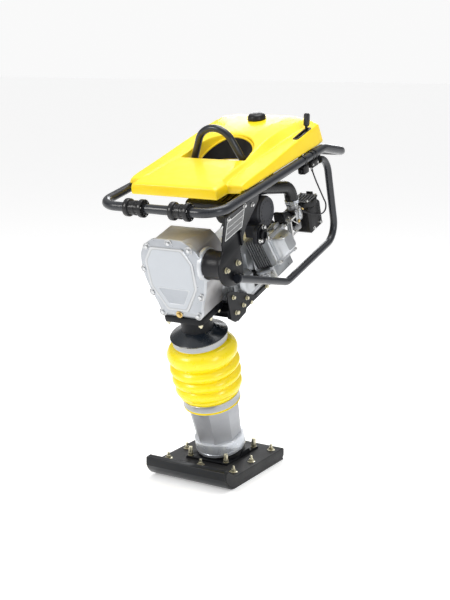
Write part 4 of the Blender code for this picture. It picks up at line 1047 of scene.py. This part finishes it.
def build_guards():
    radius = 11.5
    start = PLATE_X + 2.5 + GAP + radius
    rear = [(553, 505), (561, 770), (512, 786)]
    bm = bmesh.new()
    for name, side, first, second in (
        ("guard_tube_right", 1, (-22, 646), (215, 513)),
        ("guard_tube_left", -1, (120, 590), (235, 514)),
    ):
        corners = [(side * start, *first), *[(side * RAIL_X, *corner) for corner in (second, *rear)]]
        path = rounded_path(corners, 60, 12)
        tube_piece(name, path, radius, LEG)
        weld_bead(bm, path[-1], path[-1] - path[-2], 11.2, 2.2)
        ahead = (path[1] - path[0]).normalized()
        collar = [(11.9, -3.5), (13.7, -3.5), (14.2, -2.5), (14.2, 4.5), (13.7, 5.5), (11.9, 5.5)]
        solid(bm, collar, path[0] + ahead * 6, facing(ahead), 40)
    piece("guard_welds", bm, LEG, "handle", "charcoal", angle=60)


def build_bale():
    """The lifting arch over the tank and its crossbar between the rails, welded to both."""
    bend, splay, y, centre, knee, foot = 62, radians(25), 265, 914, 882, 838
    angles = [splay + (pi - 2 * splay) * k / 26 for k in range(27)]
    arch = [(bend * cos(angle), y, centre + bend * sin(angle)) for angle in angles]
    knee_x = arch[0][0] + (arch[0][2] - knee) * sin(splay) / cos(splay)
    bm = bmesh.new()
    sweep(bm, [(knee_x, y, foot), (knee_x, y, knee), *arch, (-knee_x, y, knee), (-knee_x, y, foot)], 11, 36)
    reach = RAIL_X - 13.5 - GAP
    ends = [LEG.inverted() @ HANDLE @ Vector((side * reach, 350, -6)) for side in (-1, 1)]
    sweep(bm, ends, 10, 32)
    for side, end in zip((-1, 1), ends):
        weld_bead(bm, end, (side, 0, 0), 9.6, 2)
        weld_bead(bm, (side * knee_x, y, foot + 4), (0, 0, 1), 10.6, 2)
    piece("lifting_bale_look", bm, LEG, "handle", "charcoal", ("lifting_bale",), "charcoal_steel", angle=60)


def roller_ribs(bm, x, count, phase, low, high):
    """Thin ribs round a roller: the one at the top lies between the two corners."""
    for k in range(count):
        turn = Matrix.Rotation(2 * pi * (k + phase) / count, 3, "X")
        for vertex in box(bm, low, high):
            vertex.co = turn @ vertex.co + Vector((x, 0, 0))


def build_rollers():
    """The transport rollers: two flanges with ribbed faces, a barrel with a centre band, and screws."""
    half = [(13.8, 0), (21.2, 0), (21.2, 3.5), (19.6, 4.5), (19, 12.5), (20, 15), (24.6, 17), (25.7, 18.5),
            (26, 20), (26, 28.5), (25.5, 30), (24, 30.8), (23.6, 29), (18.5, 28), (18, 33.5), (13.8, 33.5)]
    for x, node in ((-68, "roller_left"), (83, "roller_right")):
        bm = bmesh.new()
        for side in (-1, 1):
            ring(bm, [(r, side * h) for r, h in half], (x, 0, 0), "x", 72)
            low, high = sorted((side * 28.2, side * 30.3))
            roller_ribs(bm, x, 10, 0, (low, -0.9, 18), (high, 0.9, 24))
            low, high = sorted((side * 5, side * 15))
            roller_ribs(bm, x, 14, 0.5, (low, -0.8, 18.5), (high, 0.8, 20.6))
        piece(f"{node}_look", bm, HANDLE, f"front_{node}", "hose", (node,), "black_plastic", angle=30)
        bm = bmesh.new()
        for angle in (radians(35), radians(155), radians(275)):
            for side in (-1, 1):
                place = (x + side * 28.2, 20.8 * cos(angle), 20.8 * sin(angle))
                socket_screw(bm, place, (side, 0, 0), 5.2)
        piece(f"{node}_screws", bm, HANDLE, f"front_{node}", "bolt")


def build_side_plates():
    dress("side_plate_right", "black", 0.7, 1, 40)
    dress("side_plate_left", "black", 0.7, 1, 40)
    face = PLATE_X + 2.5
    right, left = [(face, -49, 683), (face, 12, 677)], [(-face, 100, 640), (-face, 100, 600)]
    bolts("side_plate_bolts", LEG, "handle", "zinc", (right, (1, 0, 0), 12.5, 8.8, 3, 7.5),
          (left, (-1, 0, 0), 12.5, 8.8, 3, 7.5))

    thick = 2.8
    bm = bmesh.new()
    prism(bm, rect(-34, 6, 64, 70, 3), "x", thick, thick + 0.7)
    piece("spec_plate_look", bm, SPLAY, "handle", "plate", ("spec_plate",), "label")
    bm = bmesh.new()
    for low, high in ((9.5, 26.5), (28.5, 45.5), (47.5, 66.5)):
        prism(bm, rect(-30.5, low, 60.5, high, 1.2), "x", thick + 0.5, thick + 0.85)
    piece("spec_plate_fields", bm, SPLAY, "handle", "plate_field")
    bm = bmesh.new()
    for place in [(thick + 0.6, y, z) for y in (-31.5, 61.5) for z in (8.5, 67.5)]:
        lathe(bm, [(0, 0), (1.8, 0), (1.4, 0.9), (0, 1.1)], place, "x", 16)
    for y, z in ((-30, 79), (60, 79), (110, 58)):
        bolt(bm, (2.5, y, z), (1, 0, 0), 9.5, 7, 0, 5)
    piece("splay_plate_screws", bm, SPLAY, "handle", "bolt")

    bm = bmesh.new()
    prism(bm, [(44, 716), (56, 724), (56, 758), (44, 758)], "x", face, face + 6)
    piece("side_plate_rib", bm, LEG, "handle", "black", bevel=0.8)


# The fuel tank


TANK_TOP = 95.5
FILLER_S = 590
ARCH_S = 360
FRONT_STEP = 152
SECTIONS = (
    (90, ((0, 37.5), (70, 37.5), (132, 37), (143, 31), (145.5, 20), (146, 5))),
    (98, ((0, 41), (70, 41), (133, 40.5), (144, 34.5), (145.5, 22), (146, 5))),
    (149, ((0, 44), (70, 44), (132, 44), (144, 35), (145.6, 25), (146.2, 5))),
    (153, ((0, 44.2), (70, 44.2), (126, 44.2), (140, 33), (188, 30), (196, 15))),
    (175, ((0, 45.5), (70, 45.5), (123, 45.5), (135, 37), (190, 34.5), (198.5, 14.5))),
    (240, ((0, 49.5), (70, 49.5), (119, 49.5), (131, 41.5), (191, 39.5), (199, 14.5))),
    (305, ((0, 53), (70, 53), (115, 53), (130, 45.5), (191.5, 44), (199, 14.5))),
    (330, ((0, 58), (70, 57.5), (113, 56), (130, 47.5), (191.5, 46.2), (199, 14.5))),
    (360, ((0, 67), (70, 65.5), (112, 61), (131, 50), (191, 49), (199, 14.5))),
    (450, ((0, 88), (70, 86), (114, 79), (137, 58), (190, 57), (198.8, 14.5))),
    (520, ((0, 94), (75, 93), (122, 86), (148, 64), (189, 63), (198.4, 14.5))),
    (580, ((0, TANK_TOP), (85, 94.5), (138, 89), (160, 72), (188, 68.5), (197.8, 14.5))),
    (635, ((0, TANK_TOP), (90, 94.5), (150, 89), (170, 78), (186, 71.5), (196.5, 14.5))),
    (652, ((0, 92.5), (88, 91), (146, 85), (166, 74), (182, 67), (193, 14.5))),
    (662, ((0, 82), (84, 80.5), (138, 75), (156, 66), (174, 58), (185, 14.5))),
)


def tank_sections(between=5):
    """The sections with smooth ones added between them, except across the steps near the front."""
    result = []
    for index, (here, after) in enumerate(zip(SECTIONS, SECTIONS[1:])):
        before = SECTIONS[max(index - 1, 3 if index >= 3 else 0)]
        beyond = SECTIONS[min(index + 2, len(SECTIONS) - 1)]
        span = after[0] - here[0]
        for t in [step / between for step in range(between)] if here[0] > FRONT_STEP else (0,):
            half = []
            for points in zip(before[1], here[1], after[1], beyond[1]):
                values = []
                for a, b, c, d in zip(*points):
                    into = (c - a) / (after[0] - before[0]) * span if before is not here else c - b
                    out = (d - b) / (beyond[0] - here[0]) * span if beyond is not after else c - b
                    ease = t * t * (3 - 2 * t)
                    values.append(b + (c - b) * ease + into * (t**3 - 2 * t**2 + t) + out * (t**3 - t**2))
                half.append(tuple(values))
            result.append((here[0] + span * t, half))
    result.append(SECTIONS[-1])
    return [(s, with_groove(s, half)) for s, half in result]


def with_groove(s, half):
    """Adds two points at the foot of the deck's side: behind the front step, a groove that fades out."""
    (x, h), (wing_x, wing_h) = half[3], half[4]
    if s < FRONT_STEP:
        steps = [Vector(half[3]).lerp(Vector(half[4]), share) for share in (0.33, 0.67)]
        return [*half[:4], *[tuple(step) for step in steps], *half[4:]]
    depth = 5.2 * max(0, min(1, (530 - s) / 100))
    across = (wing_x - x) / 55
    groove = [(x, h - depth), (x + 4.5 * across, h - depth), (x + 12.5 * across, h + 0.2 * depth)]
    return [*half[:3], *groove, (wing_x, wing_h), *half[5:]]


def build_tank():
    """The tank's skin with its edges relaxed. The arch, the hollow under the front deck, the inside, the
    filler and the lever's slot are cut out."""
    bm = bmesh.new()
    rings = []
    for s, half in tank_sections():
        foot_x = min(half[-1][0] - 12, 184)
        right = [*half, (foot_x + 1, half[-1][1]), (foot_x, 5)]
        loop = [*right, *[(-x, h) for x, h in reversed(right[1:])]]
        rings.append([bm.verts.new((x, s, h)) for x, h in loop])
    skin(bm, rings)
    tank = piece("fuel_tank_look", bm, WORLD, None, "yellow_tank", weld=False)

    angles = [pi * k / 28 for k in range(29)]
    hole = [(-112, 308.5), (112, 308.5), *[(104 * cos(a), ARCH_S + 92 * sin(a)) for a in angles]]
    cutters = []
    for shape, *sizes in (
        (prism, hole, "z", -100, 200),
        (box, (-128, 98, -50), (128, 300, 34.5)),
        (box, (-98, 465, 10), (98, 640, 76)),
        (solid, [(18.1, 60), (18.1, 120)], (0, FILLER_S, 0), "z", 32),
        (prism, rect(169.5, 507.5, 181.5, 596.5, 5), "z", -50, 150),
    ):
        bm = bmesh.new()
        shape(bm, *sizes)
        cutters.append(piece("tank_cutter", bm, WORLD, None, "black"))
    cut_out(tank, cutters)
    bake_modifiers(tank)
    drop(cutters)
    remesh = tank.modifiers.new("remesh", "REMESH")
    remesh.mode = "VOXEL"
    remesh.voxel_size = 0.0024
    relax = tank.modifiers.new("relax", "SMOOTH")
    relax.factor = 0.5
    relax.iterations = 9
    bake_modifiers(tank)
    tank.data.transform(HANDLE @ WORLD.inverted())
    tank.data.shade_smooth()
    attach(tank, "handle")
    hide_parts("fuel_tank")


def round_arch(points, share):
    """The points drawn towards the arch's middle by a share."""
    return [(x * share, ARCH_S + (s - ARCH_S) * share, height) for x, s, height in points]


def build_opening():
    """A matte black sheet under the arch's edge on the hump, painted shade that stands for the dark hole in the
    opening, and the rolled rim on it.
    """
    steps = 36
    upper = []
    for angle in [radians(-6 + 164 * k / steps) for k in range(steps + 1)]:
        edge = 65.5 + 22.5 * sin(angle) - 7.5 * cos(angle) ** 2
        beyond = max(0, angle - radians(92)) / radians(66)
        drop_here = 8.5 + 34 * beyond ** 1.3
        upper.append((102.5 * cos(angle), ARCH_S + 90.5 * sin(angle), edge - drop_here))
    lower = [(x, s, 10) for x, s, _ in upper]
    bm = bmesh.new()
    outlines = (upper, lower, round_arch(lower, 0.988), round_arch(upper, 0.988))
    rows = [[bm.verts.new(point) for point in row] for row in outlines]
    skin(bm, [*rows, rows[0]], around=False, caps=False)
    for k in (0, steps):
        bm.faces.new([row[k] for row in rows])
    piece("opening_shade_sheet", bm, HANDLE, "handle", "gap_shade", slot="black_rubber")
    bm = bmesh.new()
    sweep(bm, round_arch(upper, 0.992), 3, 16)
    piece("opening_rim", bm, HANDLE, "handle", "yellow_tank", angle=60)


def build_lever_gate():
    """The plate round the throttle lever's slot, which follows the wing's slope."""
    border = rect(166, 504, 185, 600, 7, 5)
    hole = rect(170.5, 508.5, 180.5, 595.5, 4, 5)
    bm = bmesh.new()
    rings = []
    for loop, down in ((border, 4), (border, 0), (hole, 0), (hole, 8)):
        rings.append([bm.verts.new((x, s, 65 + (s - 520) * 0.105 - down)) for x, s in loop])
    skin(bm, [*rings, rings[0]], caps=False)
    piece("lever_gate", bm, HANDLE, "handle", "plastic")


def build_cap():
    """The fuel cap: a domed top over a skirt with thirty finger grooves, and the filler's ring under it."""
    top = TANK_TOP + GAP
    profile = [(0, top + 21), (10, top + 20.6), (18, top + 19.2), (23.5, top + 16.8), (26.5, top + 13.8),
               (28, top + 10), (28.8, top + 4), (29, top + 1), (28.5, top), (17.5, top), (17.5, top - 12),
               (0, top - 12)]
    bm = bmesh.new()
    lathe(bm, profile, sides=120)
    for vertex in bm.verts:
        x, y, z = vertex.co
        if Vector((x, y)).length > 25.5 and z < top + 14.5:
            groove = 1 - 0.011 * (1 - cos(30 * atan2(y, x)))
            vertex.co = (x * groove, y * groove, z)
        vertex.co.y += FILLER_S
    piece("fuel_cap_look", bm, HANDLE, "cap", "plastic", ("fuel_cap",), angle=40)
    neck = [(18.2, top - 10), (25.5, top - 0.8), (31.5, top - 0.8), (32.5, top - 1.6), (32.5, top - 6)]
    bm = bmesh.new()
    ring(bm, neck, (0, FILLER_S, 0), "z", 72)
    piece("filler_ring", bm, HANDLE, "handle", "yellow_tank", angle=50)


# Controls


def build_controls():
    """The throttle lever and its clamp, the stop switch, and the straps that hold them to the right rail."""
    dress("throttle_clamp", "plastic", 1.5, 2, 30)
    dress("stop_switch", "plastic", 1.5, 2, 30)
    bm = bmesh.new()
    for s, width in ((546, 0.6), (566, 0.6), (497, 0.75)):
        half = [(r, h * width) for r, h in ((13.8, 7), (15.2, 7), (15.6, 6.2))]
        ring(bm, [*[(r, -h) for r, h in half], *reversed(half)], (RAIL_X, s, 0), "y", 48)
    for vertex in bm.verts:
        vertex.co.x = min(vertex.co.x, RAIL_X + 13.4)
    piece("control_straps", bm, HANDLE, "handle", "plastic")
    strap_bolts = [(208.9, 540, -25), (208.9, 570, -25)]
    bolts("control_screws", HANDLE, "handle", "bolt", (strap_bolts, (1, 0, 0), 6.5, 4.5, 0, 2.8),
          ([(195.5, 555, -36)], (0, 0, -1), 8, 5.6, 3.5, 4),
          ([(192, 497, -40.2)], (0, 0, -1), 6, 4.4, 0, 3))
    dress("throttle_lever", "plastic", 0.9, 2, 30)
    dress("stop_button", "rubber", 1.4, 3, 30)


def build_cable():
    """The throttle cable's curve from the handle's clamp to the carburettor, and its two sleeves, fixed on no
    body.
    """
    route = [(195.5, 464.5, 777.5), (192, 490, 722), (188.5, 526, 652), (186.8, 541, 622),
             (186.6, 531, 604), (186.2, 498, 606), (182.5, 440, 634), (172.8, 407, 660)]
    path = smooth_route(route, 10)
    bm = bmesh.new()
    sweep(bm, path, 2.4, 18)
    for place, ahead in ((path[1], path[2] - path[1]), (path[-4], path[-4] - path[-6])):
        solid(bm, [(2.4, -7), (3.6, -6.6), (3.6, 6.6), (2.4, 7)], place, facing(ahead), 18)
    cable = piece("throttle_cable_look", bm, LEG, None, "rubber", angle=60)
    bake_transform(cable)
    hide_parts("throttle_cable")


# Floor, light and camera, in metres


def build_floor():
    bm = bmesh.new()
    prism(bm, [(-40, -40), (40, -40), (40, 40), (-40, 40)], "z", -0.02, -0.0001)
    floor = piece("floor", bm, METRES, None, "black")
    m = Nodes("pale_floor", (0.94, 0.94, 0.94), 0.85)
    m.mix(m.ramp(m.noise(2, 2), 0.3, 0.7, 0.0, 0.3), (0.93, 0.93, 0.93), (0.91, 0.91, 0.915))
    m.set("Emission Color", (1.0, 1.0, 1.0, 1.0))
    m.set("Emission Strength", 0.34)
    floor.data.materials[0] = m.material


def build_world():
    """Grey bands that light the object from all round, behind a backdrop that is white to the camera only."""
    world = bpy.data.worlds.new("studio")
    world.use_nodes = True
    tree = world.node_tree
    add, link = tree.nodes.new, tree.links.new
    place, split, ramp = add("ShaderNodeTexCoord"), add("ShaderNodeSeparateXYZ"), add("ShaderNodeValToRGB")
    sight, mix, backdrop = add("ShaderNodeLightPath"), add("ShaderNodeMixShader"), add("ShaderNodeBackground")
    light = tree.nodes["Background"]
    bands = ((0.06, 0.95), (0.13, 0.26), (0.45, 0.32), (0.70, 0.80))
    while len(ramp.color_ramp.elements) < len(bands):
        ramp.color_ramp.elements.new(0.5)
    for element, (height, grey) in zip(ramp.color_ramp.elements, bands):
        element.position = height
        element.color = (grey, grey, grey, 1)
    backdrop.inputs["Color"].default_value = (0.95, 0.95, 0.95, 1.0)
    light.inputs["Strength"].default_value = 1.0
    link(place.outputs["Generated"], split.inputs[0])
    link(split.outputs["Z"], ramp.inputs[0])
    link(ramp.outputs["Color"], light.inputs["Color"])
    link(sight.outputs["Is Camera Ray"], mix.inputs[0])
    link(light.outputs[0], mix.inputs[1])
    link(backdrop.outputs[0], mix.inputs[2])
    link(mix.outputs[0], tree.nodes["World Output"].inputs["Surface"])
    bpy.context.scene.world = world
    bpy.context.scene.view_settings.view_transform = "Standard"


def linked(name, data, place):
    obj = bpy.data.objects.new(name, data)
    bpy.context.scene.collection.objects.link(obj)
    obj.location = place
    return obj


def build_lights():
    target = Vector((0, 0.03, 0.55))
    for name, place, size, power, colour in (
        ("key", (-1.7, -2.8, 2.1), 1.1, 46, (1.0, 0.985, 0.96)),
        ("fill", (2.9, -1.4, 1.6), 0.8, 20, (0.93, 0.96, 1.0)),
        ("top", (0.2, 0.3, 3.4), 1.8, 54, (1.0, 1.0, 1.0)),
        ("rear", (-1.2, 2.8, 2.0), 1.4, 30, (0.97, 0.98, 1.0)),
    ):
        data = bpy.data.lights.new(name, "AREA")
        data.size = size
        data.energy = power
        data.color = colour
        lamp = linked(name, data, place)
        lamp.rotation_euler = (target - Vector(place)).to_track_quat("-Z", "Y").to_euler()


def build_camera():
    data = bpy.data.cameras.new("camera")
    data.lens = 70.2
    data.sensor_width = 36
    camera = linked("camera", data, (1.8348, -2.9542, 1.2848))
    camera.rotation_euler = (radians(90 - 12.1), 0, radians(31.4))
    bpy.context.scene.camera = camera


def main():
    build_floor()
    build_world()
    build_lights()
    build_camera()
    build_shoe()
    build_leg()
    build_springs()
    build_bellows()
    build_guide()
    build_cover()
    build_case()
    build_gears()
    build_cylinder()
    build_valve_cover()
    build_crankcase()
    build_exhaust()
    build_intake()
    build_carburettor()
    build_air_box()
    build_starter()
    build_handle()
    build_guards()
    build_bale()
    build_rollers()
    build_side_plates()
    build_tank()
    build_opening()
    build_lever_gate()
    build_cap()
    build_controls()
    build_cable()


main()
